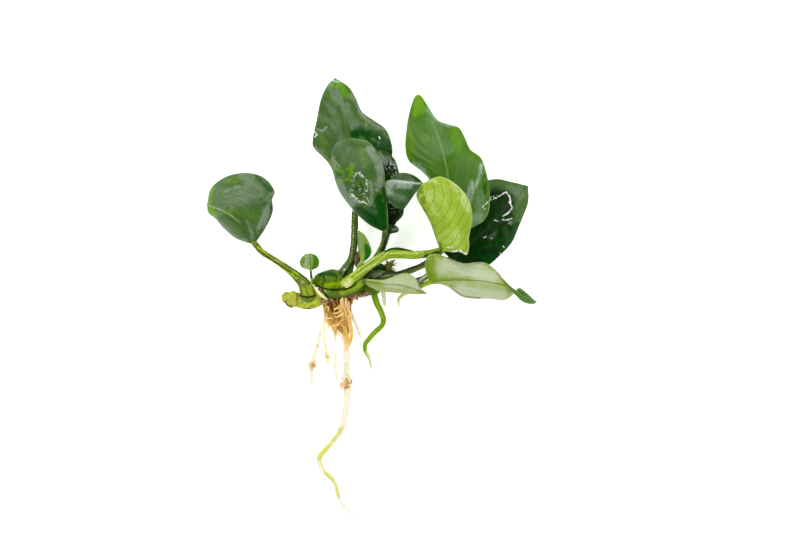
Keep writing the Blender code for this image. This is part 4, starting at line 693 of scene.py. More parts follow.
            ([(43.4, 39.8), (47, 35.6), (49.2, 30)], 1.8, 0.9), ([(45, 19.6)], 2.4, 0.5),
            ([(34, 41.4), (36, 40.4)], 1.6, 0.5), ([(33, 36), (36, 28)], 2, 0.4)],
        "glint_film": [
            ([(40.8, 14.6), (42, 15), (43.4, 14.2)], 0.5, 1),
            ([(42.8, 12.9), (45.6, 13.2), (47, 12.7), (48.4, 11.6)], 0.65, 1),
            ([(48.8, 19), (48.4, 13)], 0.35, 0.9), ([(43.4, 39.8), (46, 37), (48.2, 33.8)], 0.55, 0.85)]},
    "leaf_dark_right": {
        "finish": "leaf_deep", "veins": 10, "veins_show": 0.5, "rib_shows": (-0.2, 1.1, 0.4), "rib": 0.2,
        "pucker": 0.06,
        "fresh": [
            ([(54, 40), (62, 41), (72, 38)], 5, 1), ([(71, 36), (69.6, 25)], 4.4, 1), ([(66, 17)], 2.4, 0.5),
            ([(64, 22), (67, 14)], 2, 0.3)],
        "deep": [
            ([(58, 8.4), (63, 12.6), (67, 18), (69, 23)], 3.8, 0.8), ([(52, 12), (58, 14), (62, 20)], 5, 0.5),
            ([(58, 33), (64, 34)], 1.8, 0.4)],
        "frost": [
            ([(66, 24.4)], 1.2, 0.7), ([(66, 38), (70, 36)], 3, 0.25), ([(58, 18.4), (60, 20)], 1.4, 0.25)],
        "glint_film": [
            ([(55.4, 30.8), (56.8, 33.2)], 0.6, 0.75), ([(56.8, 33), (60, 34.2), (64.4, 36.8)], 0.42, 0.85),
            ([(58, 34.6), (61, 35.6)], 0.3, 0.8), ([(64.4, 36.8), (65.8, 34.8), (66.2, 32.6)], 0.45, 0.95),
            ([(65.8, 32.6), (66.8, 30.6)], 0.6, 0.75), ([(66.6, 30), (65.2, 28.4), (62.8, 26.8)], 0.45, 0.95),
            ([(55, 32.4), (56.6, 31)], 0.4, 1), ([(56.2, 35.4), (58.6, 33.4)], 0.35, 0.8),
            ([(59.6, 25.4), (61.2, 25.2)], 0.42, 1), ([(62.8, 25.8), (64, 25.4), (66.6, 26.2)], 0.4, 0.9),
            ([(55.2, 18.4), (56.4, 18.8)], 0.4, 0.8), ([(58, 18.6), (58.8, 18.2)], 0.4, 0.8),
            ([(63, 15.2), (63.6, 14.4)], 0.35, 1), ([(61.8, 12.4), (62.4, 11.8)], 0.35, 1)]},
    "leaf_twisted_right": {
        "finish": "leaf_pale", "side": "under", "veins": 34, "slant": 0.5, "wave": (0.2, 2), "rib": 0.4,
        "pucker": 0.05,
        "fresh": [
            ([(32.4, 9), (33.6, 4), (34, 1)], 2.2, 1), ([(34.8, 11.4), (34.4, 6), (35.2, 2)], 2.6, 0.85),
            ([(36, 11.6), (38.4, 10.8)], 1.3, 0.8), ([(36, 3.4), (41, 2.6)], 1.2, 0.5),
            ([(35, 1.4), (40, 2.1), (46, 2.2), (52, 2)], 0.7, 1),
            ([(42, -0.8), (47, -1.6), (50, -3.4)], 0.9, 0.5), ([(46, 2.8), (58, 2.4)], 0.9, 0.4),
            ([(56, 7.8), (61, 3.8), (64, 0)], 0.7, 0.8)],
        "deep": [
            ([(32.6, 10), (33.2, 5.6)], 0.7, 0.5),
            ([(38.6, 11.2), (47, 8), (52, 8.4), (56.4, 8), (61.2, 4.4), (64.4, 0)], 0.35, 0.6),
            ([(42.6, -1.9), (46.8, -4.7), (52, -5.4), (54, -5.4)], 0.45, 1)],
        "frost": [([(40, 7), (50, 5.4), (58, 3)], 5, 0.85), ([(46, -2.6), (54, -4), (62, -4.6)], 4, 0.95)]},
    "leaf_low_middle": {
        "finish": "leaf_pale", "side": "under", "veins": 20, "slant": 0.6, "wave": (0.15, 2), "rib": 0.25,
        "fresh": [([(8, 1), (12, 0)], 2.2, 0.3), ([(10, 0.4), (15, -1)], 1.2, 0.4)],
        "deep": [([(28, 2), (29.8, -1.4), (32.4, -3.6)], 0.35, 0.7)],
        "frost": [([(18, 1), (28, 0)], 4.5, 0.7)]},
    "leaf_young": {
        "finish": "leaf_young", "veins": 5, "wave": (0.1, 1), "rib": 0.15,
        "deep": [
            ([(8.6, 14.8), (9.6, 12.4), (9, 9.6)], 2, 1), ([(8.2, 16), (8.4, 10)], 1, 0.8),
            ([(5, 20.6), (5.3, 15), (6, 10)], 0.4, 0.9)],
        "fresh": [([(7, 12), (7, 9.6)], 0.7, 1)], "frost": [([(5.9, 20), (6.2, 15)], 1, 0.4)]},
    "bract_brown": {
        "finish": "bract", "veins": 3, "wave": (0.1, 1.5), "rib": 0.1,
        "frost": [([(4.4, 13), (4.4, 8)], 0.4, 0.5)], "deep": [([(5, 13), (5, 8)], 0.5, 0.9)],
        "fresh": [([(5.6, 12), (5.6, 8)], 0.3, 0.6)]},
    "bract_grey": {
        "finish": "leaf_deep", "veins": 3, "wave": (0.05, 1), "rib": 0.1,
        "frost": [([(19, 21.6), (21, 22)], 0.8, 1)]},
}

# How each stalk, stem and root looks, from its own values over the plain ones. A groove is its angle round the
# stalk (90 faces the camera), its half width in degrees, its depth as a share of the radius, and where it starts
# and ends. A ring is its distance from the foot, its half width and its depth. A lump is a height and a size.
# The strokes are as on a blade: lighter under "fresh"; deep colour, and painted shade in crevices and under other
# parts, under "deep"; painted highlights and a few paler patches under "frost".
PLAIN_STEM = {"finish": "stalk_dark", "sides": 28, "step": 0.4, "grooves": [], "rings": [],
              "lumps": [(0.1, 2.4), (0.04, 0.7)], "fresh": [], "deep": [], "frost": []}
STEM_LOOKS = {
    "stalk_round_left": {
        "finish": "stalk_round", "sides": 36, "grooves": [(110, 16, 0.16, 0.2, 1), (40, 12, 0.1, 0, 0.5)],
        "lumps": [(0.12, 2.0), (0.06, 0.6)],
        "fresh": [
            ([(-20.6, 5.2), (-18.4, 3.8)], 0.5, 1), ([(-16, -4), (-16.6, -1.8)], 1.3, 0.8),
            ([(-19.4, 2.6), (-22.6, 5), (-28, 8.4), (-34.4, 14.6)], 0.8, 1),
            ([(-14, -1.4), (-13.4, -3.6)], 1.7, 0.8), ([(-22, 7), (-26.4, 10)], 0.5, 0.8)],
        "deep": [
            ([(-21.4, 4.4), (-24, 6.2), (-28.6, 9.2), (-34.2, 13.6)], 0.35, 1),
            ([(-25.6, 9.8), (-30, 12.4), (-35, 16)], 0.3, 1), ([(-17.8, -1.4), (-20, 2.2)], 0.3, 0.6),
            ([(-24, 8.2), (-19.4, 5.2), (-15.6, 2.2)], 0.35, 0.8), ([(-19.8, 3.4), (-18.6, 1.8)], 1, 0.42),
            ([(-18, -4.6), (-15, -5.4), (-12, -4.6)], 0.7, 0.8), ([(-12.4, -1.2), (-13.6, 1.6)], 0.5, 1)],
        "frost": [
            ([(-17.2, -0.6), (-16.8, 1.2), (-18, 2.4)], 1.3, 0.45), ([(-24, 7.4), (-28, 9.8)], 0.3, 0.6)]},
    "stalk_bud_round": {
        "finish": "stalk_lime", "sides": 16, "step": 0.25,
        "deep": [([(-13.6, 5), (-13.4, 2.6)], 0.5, 1), ([(-12.6, 4), (-12.6, 0)], 0.4, 1)]},
    "stalk_tall_left": {
        "sides": 36, "grooves": [(75, 14, 0.18, 0.1, 1), (130, 10, 0.1, 0.2, 1)],
        "lumps": [(0.16, 1.8), (0.1, 0.6)],
        "deep": [
            ([(1.6, 6), (3.4, 9), (4.6, 14), (5, 22), (5.4, 30)], 0.55, 1), ([(-0.6, 3), (1, 5)], 1.2, 0.7),
            ([(2.2, 12), (2.8, 20), (3, 30)], 0.25, 0.8)],
        # a dotted line of painted highlights along the stalk
        "frost": [([(2.4 + 1.2 * min(1, i / 14), 8 + 1.05 * i)], 0.34, 1) for i in range(22)]
                 + [([(-2, 5), (0, 6)], 0.9, 0.5)],
        "fresh": [([(2, 9), (3, 14), (3.2, 24), (3.8, 30)], 0.5, 0.3), ([(-1.6, 3.6), (0.6, 5)], 1, 0.3)]},
    "stalk_shaded": {"deep": [([(11, 1), (14.4, 12)], 3, 0.7)]},
    "stalk_front_left": {
        "sides": 32, "grooves": [(80, 14, 0.14, 0.1, 1)],
        "deep": [([(15, 12.4), (16.9, 19)], 0.9, 1), ([(12, 8), (14, 11)], 1.4, 0.8)],
        "frost": [([(13.2, 12.6), (14.8, 18)], 0.35, 0.6)], "fresh": [([(12.6, 11), (14.4, 18)], 0.5, 0.4)]},
    # painted shade: this stalk is darkened where it runs under the leaves
    "stalk_cupped": {"sides": 16, "deep": [([(15.2, 15.6), (18.6, 22.4), (21.2, 26.8), (23.2, 30)], 1.4, 1)]},
    "stalk_tall_right": {
        "finish": "stalk_brown", "grooves": [(95, 12, 0.12, 0.1, 1)],
        "deep": [
            ([(13, 2), (16, 4.4), (22, 4.8), (28, 7), (36, 12)], 0.7, 1), ([(14, 0), (20, 2.6)], 0.8, 1)],
        "fresh": [([(24, 3.6), (28, 5), (33, 7.4)], 1, 1)],
        "frost": [([(14, 3), (20, 3.6)], 0.4, 0.75), ([(27, 4.9), (31, 6.6)], 0.4, 0.7)]},
    "stalk_pale_raised": {
        "finish": "stalk_arch", "sides": 48, "step": 0.3, "lumps": [(0.12, 2.6), (0.05, 0.8)],
        "grooves": [(62, 9, 0.26, 0.2, 0.62), (118, 9, 0.12, 0.12, 0.5), (20, 10, 0.12, 0.2, 0.9)],
        "fresh": [
            ([(-0.4, 0.2), (2.2, 1)], 2, 1), ([(2, 3.4), (6, 6.4), (12, 10.2), (17, 12.6)], 0.6, 0.9),
            ([(4, 3), (10, 7), (16, 11)], 0.5, 0.9), ([(18, 12.2), (24, 12.4), (29, 12.2)], 0.6, 0.8)],
        "deep": [
            ([(6.2, 5.6), (11, 9), (16, 12.2)], 0.22, 0.8),
            ([(16.2, 13), (18.4, 13.9), (22, 13.9), (26, 13.4)], 0.6, 1), ([(26, 13.5), (35, 13.6)], 0.25, 1),
            ([(8.6, 4.2), (14.4, 7.8)], 0.8, 0.5), ([(-1, -1.6), (2.6, -1.2), (4.4, 0.8)], 0.45, 1),
            ([(16, 9.8), (22, 10), (28, 9.8), (32, 10.2)], 0.35, 0.5), ([(32, 11), (38, 13)], 1.6, 0.6)],
        "frost": [
            ([(8.4, 5.6), (13.6, 9)], 0.3, 1), ([(0, 0.2), (0.8, -1), (2, 0.6)], 1.3, 0.8),
            ([(1.4, 2), (2.8, 2.4)], 0.5, 0.6), ([(27.6, 12.8), (31.4, 12.6)], 0.7, 0.6)]},
    "stalk_dark_right": {
        "frost": [([(29.8, 1.4), (33.2, 4)], 0.65, 1), ([(29.4, 2.8), (32, 4.8)], 0.3, 1)],
        "deep": [
            ([(14, 0.6), (27, 1)], 1.2, 0.9), ([(28, 3), (31, 5)], 0.8, 1),
            ([(34, 5), (40, 9), (45.6, 12)], 2.6, 1)],
        "fresh": [([(30, 1.4), (33, 3.6)], 0.8, 0.7)]},
    "stalk_twisted_right": {
        "finish": "stalk_arch", "grooves": [(90, 14, 0.14, 0.2, 1)],
        "deep": [([(14, -1), (24, -0.6)], 1.4, 0.9), ([(26, 0), (31, 0.6)], 0.9, 0.8)],
        "fresh": [([(28, -1.8), (33, -0.6)], 0.5, 1)]},
    "stalk_low_middle": {
        "finish": "stalk_olive", "sides": 36, "grooves": [(100, 14, 0.12, 0.1, 1)],
        "lumps": [(0.14, 2.0), (0.07, 0.6)],
        "deep": [
            ([(-9.4, -1.2), (-8.6, -3.4), (-7, -4.8)], 0.5, 0.8),
            ([(-9, -1.6), (-4, -2.4), (0, -2.2), (4, -0.6)], 0.45, 0.6),
            ([(-6, -5.8), (0, -5.4), (3, -4.2)], 0.3, 0.8)],
        "fresh": [([(-1.4, -3.4), (2, -2.6), (6, -0.2)], 1.5, 0.9), ([(2, -1.4), (6.4, 1.4)], 0.8, 0.8)],
        "frost": [([(-8.4, -2.8), (-5.6, -3.2)], 0.9, 0.44)]},
    "stalk_young": {"finish": "stalk_lime", "sides": 20},
    "bract_dried": {
        "finish": "stalk_dried", "lumps": [(0.4, 1.2), (0.15, 0.5)],
        "deep": [([(15.6, 4), (17, 7)], 1.2, 0.6)]},
    "rhizome_main": {
        "finish": "rhizome", "sides": 72, "step": 0.22, "lumps": [(0.5, 3.0), (0.26, 1.3), (0.1, 0.5)],
        "rings": [(11.6, 0.25, 0.06), (20.4, 0.3, 0.07)],
        "fresh": [
            ([(-7.4, -0.8), (-4.6, -0.9), (-2.4, 0)], 1.9, 1), ([(-2.8, 1.2), (-2.2, 0.4)], 0.8, 0.6),
            ([(-7.5, 4), (-6.4, 2.4)], 0.5, 0.4), ([(-9.6, 2), (-9.4, 0.6)], 0.5, 0.3),
            ([(-10.6, 0.4), (-9, -1.2)], 0.6, 0.6)],
        "deep": [
            ([(-10.4, 3.2), (-9.2, 4.4)], 0.8, 0.7), ([(-8.6, 3.4), (-8.2, 1)], 0.7, 0.6),
            ([(-6.8, 3.4), (-6.2, 1.4)], 0.4, 0.6), ([(-4.2, 4.2), (-3.4, 2.2)], 0.8, 0.7),
            ([(-9.6, 3.8), (-6, 4.4), (-3.4, 3.4)], 1.5, 0.7),
            ([(-10.8, -0.8), (-6, -2.4), (-2, -2.2)], 0.6, 0.6), ([(5, -4.8), (11, -4)], 1.2, 0.8),
            ([(-4.6, 2), (-3, 0.8)], 1.2, 0.42), ([(-9.8, 1.8), (-8.6, -0.4)], 1.3, 0.42),
            ([(8, 2), (14, 2)], 1.6, 0.8)],
        "frost": [
            ([(-7.4, 3), (-6.4, 1)], 0.8, 0.4), ([(-2.4, -0.8), (-1.2, -0.2)], 0.9, 0.48),
            ([(-1.4, 1.8), (-1, 0)], 0.5, 0.7), ([(-4, -1.9), (-1.6, -1.8)], 0.35, 0.9),
            ([(3, -4.4), (6, -4.6)], 0.6, 0.4)]},
    "rhizome_branch": {
        "finish": "rhizome_pale", "sides": 60, "step": 0.22, "lumps": [(0.34, 2.2), (0.2, 0.9), (0.08, 0.45)],
        "rings": [(3.8, 0.4, 0.1)],
        "fresh": [([(-17.4, -6.8), (-14, -8.2), (-10.6, -7)], 1.7, 1), ([(-22, -3.6), (-20.4, -3.4)], 1, 1)],
        "deep": [
            ([(-19.4, -8.6), (-19, -6), (-18.6, -4)], 1.1, 0.42), ([(-23.6, -5), (-22.6, -7)], 1, 0.34),
            ([(-8.6, -5), (-9.4, -7)], 0.8, 0.8), ([(-16.6, -9.6), (-12, -9.8)], 0.35, 0.7),
            ([(-24, -6.6), (-23, -8.4), (-21, -9)], 0.5, 0.8), ([(-24.6, -4.6), (-23.6, -3.4)], 0.5, 0.6)],
        "frost": [
            ([(-18, -5.8), (-16.2, -7), (-14, -7)], 1.3, 0.46), ([(-12.6, -7.6), (-11, -7.2)], 0.8, 0.42),
            ([(-22.6, -5.4)], 0.8, 0.6)]},
    "root_long": {
        "finish": "root_cream", "sides": 20, "step": 0.3, "lumps": [(0.14, 2.2), (0.07, 0.7)],
        "deep": [([(0.6, -20), (0.6, -26)], 1.8, 0.6), ([(0.6, -38), (0.8, -41.4)], 1.8, 0.55)],
        "fresh": [
            ([(0.4, -32), (0.6, -36)], 1.4, 0.5), ([(-2, -58), (-10, -69), (-6, -77), (-2.8, -84)], 2, 1)]},
    "root_green": {
        "finish": "root_green", "sides": 20, "step": 0.3, "frost": [([(9, -27), (10.6, -34)], 1.6, 0.9)],
        "fresh": [([(12, -5), (15.2, -14)], 0.5, 0.8), ([(12, -19), (9, -24)], 1, 0.4)]},
    "root_pale_left": {"finish": "root_yellow", "sides": 18, "step": 0.3},
    "root_far_left": {
        "finish": "root_cream", "sides": 18, "step": 0.3,
        "deep": [([(-12.8, -31.4), (-13.3, -33.6)], 1.4, 0.5)]},
    "root_middle": {"finish": "root_cream", "sides": 16, "step": 0.3},
    "root_right_thin": {"finish": "root_cream", "sides": 16, "step": 0.3},
    "root_right_short": {"finish": "root_cream", "sides": 16, "step": 0.3},
    "root_hook_right": {"finish": "root_yellow", "sides": 16, "step": 0.3},
    "root_strand": {"finish": "root_yellow", "sides": 14, "step": 0.25},
}


class Wires:
    """Adds nodes to a material or a node group, one line for each, and wires them up."""

    def __init__(self, tree):
        self.tree = tree

    def add(self, kind, inputs=None, **settings):
        node = self.tree.nodes.new(kind)
        for key, setting in settings.items():
            setattr(node, key, setting)
        for socket, given in (inputs or {}).items():
            self.give(node.inputs[socket], given)
        return node

    def give(self, socket, given):
        """Wire an output to a socket, or set a plain value on it."""
        if isinstance(given, bpy.types.NodeSocket):
            self.tree.links.new(given, socket)
        else:
            socket.default_value = given

    def maths(self, operation, a, b, c=0.0):
        return self.add("ShaderNodeMath", {0: a, 1: b, 2: c}, operation=operation).outputs[0]

    def times(self, a, b):
        return self.maths("MULTIPLY", a, b)

    def less(self, a, b):
        return self.maths("SUBTRACT", a, b)

    def larger(self, a, b):
        return self.maths("MAXIMUM", a, b)

    def scaled(self, value, factor, offset):
        """The value times the factor, plus the offset."""
        return self.maths("MULTIPLY_ADD", value, factor, offset)

    def from_line(self, value):
        """How far a value is from the nearest whole number."""
        return self.maths("PINGPONG", value, 0.5)

    def stretched(self, vector, factors):
        return self.add("ShaderNodeVectorMath", {0: vector, 1: factors}, operation="MULTIPLY").outputs[0]

    def shaded(self, colour, strength):
        return self.add("ShaderNodeVectorMath", {0: colour, "Scale": strength}, operation="SCALE").outputs[0]

    def mixed(self, share, a, b):
        """Colour a, with the given share of colour b over it."""
        return self.add("ShaderNodeMix", {0: share, 6: a, 7: b}, data_type="RGBA").outputs[2]

    def ramped(self, value, low, high, start=0.0, end=1.0):
        """A smooth step from start at low to end at high."""
        inputs = {"Value": value, "From Min": low, "From Max": high, "To Min": start, "To Max": end}
        return self.add("ShaderNodeMapRange", inputs, interpolation_type="SMOOTHSTEP").outputs[0]

    def noise(self, place, scale, detail, distortion=0.0):
        inputs = {"Vector": place, "Scale": scale, "Detail": detail, "Distortion": distortion}
        return self.add("ShaderNodeTexNoise", inputs).outputs["Fac"]

    def parts(self, vector):
        return self.add("ShaderNodeSeparateXYZ", {0: vector}).outputs

    def attribute(self, name):
        return self.add("ShaderNodeAttribute", None, attribute_name=name).outputs["Vector"]


def new_group(name, vectors, colours, values, results):
    """A shader node group: its inputs with their first values, a colour as its first output, and more results."""
    group = bpy.data.node_groups.new(name, "ShaderNodeTree")
    for label in vectors:
        group.interface.new_socket(name=label, in_out="INPUT", socket_type="NodeSocketVector")
    for label, first in colours.items():
        socket = group.interface.new_socket(name=label, in_out="INPUT", socket_type="NodeSocketColor")
        socket.default_value = (*first, 1.0)
    for label, first in values.items():
        socket = group.interface.new_socket(name=label, in_out="INPUT", socket_type="NodeSocketFloat")
        socket.default_value = first
    group.interface.new_socket(name="Color", in_out="OUTPUT", socket_type="NodeSocketColor")
    for label in results:
        group.interface.new_socket(name=label, in_out="OUTPUT", socket_type="NodeSocketFloat")
    wires = Wires(group)
    return group, wires, wires.add("NodeGroupInput").outputs, wires.add("NodeGroupOutput").inputs


def leaf_surface():
    """Green of a blade: mottling, side veins, fine veins between them, midrib, margin, deep green with painted
    shade, painted sheen and highlight, white painted glints and wet ripples.
    """
    group, wires, given, out = new_group("leaf_surface", ("Place", "Blade", "Measure", "Tones", "Marks"),
                                         LEAF_COLOURS, LEAF_VALUES, ("Roughness", "Height", "Wetness"))
    times, less, scaled, larger, mixed = wires.times, wires.less, wires.scaled, wires.larger, wires.mixed
    phase = wires.parts(given["Blade"])[2]
    from_rib, from_margin, wet = wires.parts(given["Measure"])
    fresh, deep, frost = wires.parts(given["Tones"])
    veins_show, rib_shows, glint_film = wires.parts(given["Marks"])
    noises = {key: wires.noise(given["Place"], *values) for key, values in LEAF_NOISES.items()}
    streaks = less(wires.noise(wires.stretched(given["Blade"], LEAF_STREAKS), 1.0, 4.0, 0.4), 0.5)
    ragged = less(noises["ragged"], 0.5)

    def step(value, key, *ends):
        return wires.ramped(value, *LEAF_STEPS[key], *ends)

    bent = scaled(noises["drift"], 0.5, phase)
    vein = times(step(wires.from_line(bent), "vein"), veins_show)
    vein_share = times(vein, given["Vein Strength"])
    fine = step(wires.from_line(times(bent, FINE_VEINS)), "fine")
    on_rib = times(step(from_rib, "rib"), rib_shows)
    on_rim = step(from_margin, "rim")
    speck = step(noises["grain"], "speck", less(1.0, given["Grain"]), wires.maths("ADD", 1.0, given["Grain"]))
    clouds = step(noises["patches"], "clouds")
    uneven = scaled(streaks, given["Streaks"], times(ragged, given["Raggedness"]))
    painted_sheen = larger(times(frost, scaled(uneven, 3.2, 1.0)), 0.0)
    deep_and_shade_cover = times(step(scaled(ragged, 1.4, deep), "dark"), scaled(deep, 0.6, 0.4))
    glint_speck = times(step(noises["glint_specks"], "glint_specks"), step(wet, "wet"))
    glint_bead = times(step(scaled(less(noises["glint_beads"], 0.5), 2.4, glint_film), "glint_beads"), step(glint_film, "glint_film"))

    variety = scaled(streaks, 1.3, scaled(ragged, 1.7, clouds))
    colour = mixed(larger(scaled(variety, given["Mottle"], fresh), 0.0), given["Green"], given["Fresh"])
    colour = mixed(times(fine, given["Fine Strength"]), colour, given["Vein"])
    colour = mixed(vein_share, colour, given["Vein"])
    # deep green, and painted shade
    colour = mixed(deep_and_shade_cover, colour, given["Deep"])
    colour = mixed(times(on_rib, given["Rib Strength"]), colour, given["Rib"])
    between = times(less(1.0, vein_share), scaled(deep_and_shade_cover, -0.75, 1.0))
    between = times(between, scaled(on_rib, -0.6, 1.0))
    # painted sheen, with a paler tint on some blades; where it is stronger than 1 it turns to a painted highlight
    colour = mixed(times(painted_sheen, between), colour, given["Frost"])
    colour = mixed(step(scaled(uneven, 0.6, frost), "highlight"), colour, given["Highlight"])
    colour = mixed(times(on_rim, given["Rim Strength"]), colour, given["Rim"])
    # painted glints: white over wet specks and along the lines of wet film
    glint = times(larger(glint_speck, glint_bead), GLINT_COVER)
    wires.give(out["Color"], mixed(glint, wires.shaded(colour, speck), (*GLINT_WHITE, 1.0)))

    wetness = step(larger(wet, glint_film), "gloss")
    dull = scaled(noises["patches"], 0.12, given["Gloss"])
    wires.give(out["Wetness"], wetness)
    wires.give(out["Roughness"], wires.ramped(wetness, 0.0, 1.0, dull, WET_ROUGHNESS))

    height = times(times(noises["ripple"], wet), given["Ripple"])
    height = scaled(step(glint_film, "swell"), LEAF_HEIGHTS["glint_film"], height)
    height = scaled(vein_share, LEAF_HEIGHTS["vein"], height)
    height = scaled(fine, LEAF_HEIGHTS["fine"], height)
    height = scaled(noises["patches"], LEAF_HEIGHTS["patches"], height)
    wires.give(out["Height"], scaled(noises["grain"], LEAF_HEIGHTS["grain"], height))
    return group


def stem_surface():
    """Skin of a stalk, stem or root: streaks along it, speckles, and the same patches as a blade has: lighter, deep
    with painted shade, and painted highlights with some paler patches.
    """
    group, wires, given, out = new_group("stem_surface", ("Place", "Run", "Tones"), STEM_COLOURS, STEM_VALUES,
                                         ("Roughness", "Height"))
    times, less, scaled, mixed = wires.times, wires.less, wires.scaled, wires.mixed
    fresh, deep, frost = wires.parts(given["Tones"])
    streaks = wires.noise(wires.stretched(given["Run"], STEM_STREAKS), 1.3, 3.0)
    hoops = wires.noise(wires.stretched(given["Run"], STEM_HOOPS), 1.2, 2.0)
    noises = {key: wires.noise(given["Place"], *values) for key, values in STEM_NOISES.items()}

    def step(value, key):
        return wires.ramped(value, *STEM_STEPS[key])

    uneven = less(noises["fine"], 0.5)
    # deep colour, and painted shade in crevices and under other parts
    deep_and_shade_cover = step(scaled(uneven, 0.9, deep), "dark")
    # painted highlights, and on some stems paler patches of the skin
    pale_and_sheen_cover = times(step(scaled(uneven, 1.6, frost), "frost"), step(frost, "faint"))

    colour = mixed(scaled(noises["patches"], 0.15, fresh), given["Skin"], given["Fresh"])
    colour = mixed(times(step(streaks, "line"), given["Streak Strength"]), colour, given["Streak"])
    colour = mixed(deep_and_shade_cover, colour, given["Deep"])
    colour = mixed(pale_and_sheen_cover, colour, given["Frost"])
    spots = times(step(noises["patches"], "spots"), given["Speckle Strength"])
    colour = mixed(spots, colour, given["Speckle"])
    wires.give(out["Color"], wires.shaded(colour, step(noises["grain"], "speck")))
    wires.give(out["Roughness"], scaled(noises["patches"], 0.25, given["Gloss"]))

    height = scaled(hoops, given["Wrinkle"], times(streaks, STEM_HEIGHTS["streaks"]))
    height = scaled(noises["patches"], STEM_HEIGHTS["patches"], height)
    wires.give(out["Height"], scaled(noises["grain"], STEM_HEIGHTS["grain"], height))
    return group


def finish(name, group, look):
    """A material that takes its colour, roughness and height from a group with the given values."""
    look = {**PLAIN_FINISH, **look}
    material = bpy.data.materials.new(name)
    material.use_nodes = True
    wires = Wires(material.node_tree)
    shader = material.node_tree.nodes["Principled BSDF"]
    shader.inputs["Specular IOR Level"].default_value = look["specular"]
    shader.inputs["Coat Roughness"].default_value = COAT_ROUGHNESS
    surface = wires.add("ShaderNodeGroup", None, node_tree=group)
    wires.give(surface.inputs["Place"], wires.add("ShaderNodeTexCoord").outputs["Object"])
    for label in ("Blade", "Measure", "Tones", "Marks", "Run"):
        if label in surface.inputs:
            wires.give(surface.inputs[label], wires.attribute(label.lower()))
    for label, setting in look.items():
        if label not in PLAIN_FINISH:
            surface.inputs[label].default_value = (*setting, 1.0) if isinstance(setting, tuple) else setting
    wires.give(shader.inputs["Base Color"], surface.outputs["Color"])
    # glow is painted light: the surface colour given off as emission
    if look["glow"]:
        wires.give(shader.inputs["Emission Color"], surface.outputs["Color"])
        shader.inputs["Emission Strength"].default_value = look["glow"]
    wires.give(shader.inputs["Roughness"], surface.outputs["Roughness"])
    if "Wetness" in surface.outputs:
        wires.give(shader.inputs["Coat Weight"], surface.outputs["Wetness"])
    bump = wires.add("ShaderNodeBump", {"Height": surface.outputs["Height"], "Distance": look["relief"] * MM})
    wires.give(shader.inputs["Normal"], bump.outputs["Normal"])
    return material


def smooth_line(points):
    """A smooth line through the given points: its samples, and each sample's distance along it."""
    knots = np.array(points, float)
    ends = np.vstack([2 * knots[:1] - knots[1:2], knots, 2 * knots[-1:] - knots[-2:-1]])
    t = np.linspace(0, 1, CURVE_SAMPLES, endpoint=False)[:, None]
    runs = []
    for i in range(len(knots) - 1):
        start, end = knots[i], knots[i + 1]
        leave = (end - ends[i]) / 2
        arrive = (ends[i + 3] - start) / 2
        runs.append(start * (2 * t**3 - 3 * t**2 + 1) + leave * (t**3 - 2 * t**2 + t)
                    + end * (3 * t**2 - 2 * t**3) + arrive * (t**3 - t**2))
    samples = np.vstack(runs + [knots[-1:]])
    steps = np.linalg.norm(np.diff(samples, axis=0), axis=1)
    return samples, np.concatenate([[0], np.cumsum(steps)])


def along(line, shares):
    """The places at the given shares of the way along a sampled line."""
    samples, distances = line
    wanted = np.asarray(shares) * distances[-1]
    return np.stack([np.interp(wanted, distances, column) for column in samples.T], axis=-1)


def unit(vectors):
    return vectors / np.maximum(np.linalg.norm(vectors, axis=-1, keepdims=True), 1e-9)


def soft(values):
    """A smooth step from 0 at 0 to 1 at 1."""
    clipped = np.clip(values, 0, 1)
    return clipped * clipped * (3 - 2 * clipped)


def hump(share):
    """0 at 0 and at 1, and 1 halfway."""
    return 4 * share * (1 - share)


def rough(places, size, seed=0.0):
    """Smooth noise from about -1 to 1 at each place, with features of the given size."""
    flat = places.reshape(-1, 3) / size
    values = [noise.noise(Vector((x + seed, y, z))) for x, y, z in flat]
    return np.array(values).reshape(places.shape[:-1])


def lifted(rings):
    """Places that are pushed up where they are too low."""
    rings[..., 2] = np.maximum(rings[..., 2], SURFACE_CLEAR)
    return rings


def painted(places, strokes, unevenness=0.6, fading=1.0):
    """How strongly soft strokes cover each place, seen from above. fading above 1 makes them fainter outwards."""
    cover = np.zeros(len(places))
    if not strokes:
        return cover
    uneven = sum(STROKE_RAGGED * rough(places, size, seed) for size, seed in STROKE_NOISES) * unevenness
    flat = places[:, :2]
    for points, reach, strength in strokes:
        line = np.array(points, float)
        nearest = np.linalg.norm(flat - line[0], axis=1)
        for a, b in zip(line[:-1], line[1:]):
            share = np.clip(((flat - a) @ (b - a)) / max((b - a) @ (b - a), 1e-9), 0, 1)
            nearest = np.minimum(nearest, np.linalg.norm(flat - a - share[:, None] * (b - a), axis=1))
        cover = np.maximum(cover, strength * soft(STROKE_FULL * (1 - nearest / reach + uneven)) ** fading)
    return cover


def new_piece(name, places, faces, materials, attributes, node, slots=None):
    """A smooth mesh over a node of the model, from places in millimetres. It rides on the plant's one body."""
    mesh = bpy.data.meshes.new(name)
    mesh.from_pydata((places * MM).tolist(), [], faces)
    for label, columns in attributes.items():
        layer = mesh.attributes.new(label, "FLOAT_VECTOR", "POINT")
        layer.data.foreach_set("vector", np.stack(columns, axis=1).astype(np.float32).ravel())
    for material in materials:
        mesh.materials.append(material)
    if slots is not None:
        mesh.polygons.foreach_set("material_index", slots)
    bm = bmesh.new()
    bm.from_mesh(mesh)
    bmesh.ops.recalc_face_normals(bm, faces=bm.faces)
    bm.to_mesh(mesh)
    bm.free()
    mesh.shade_smooth()
    piece = bpy.data.objects.new(name, mesh)
    bpy.context.scene.collection.objects.link(piece)
    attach(piece, "root")
    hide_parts(node)


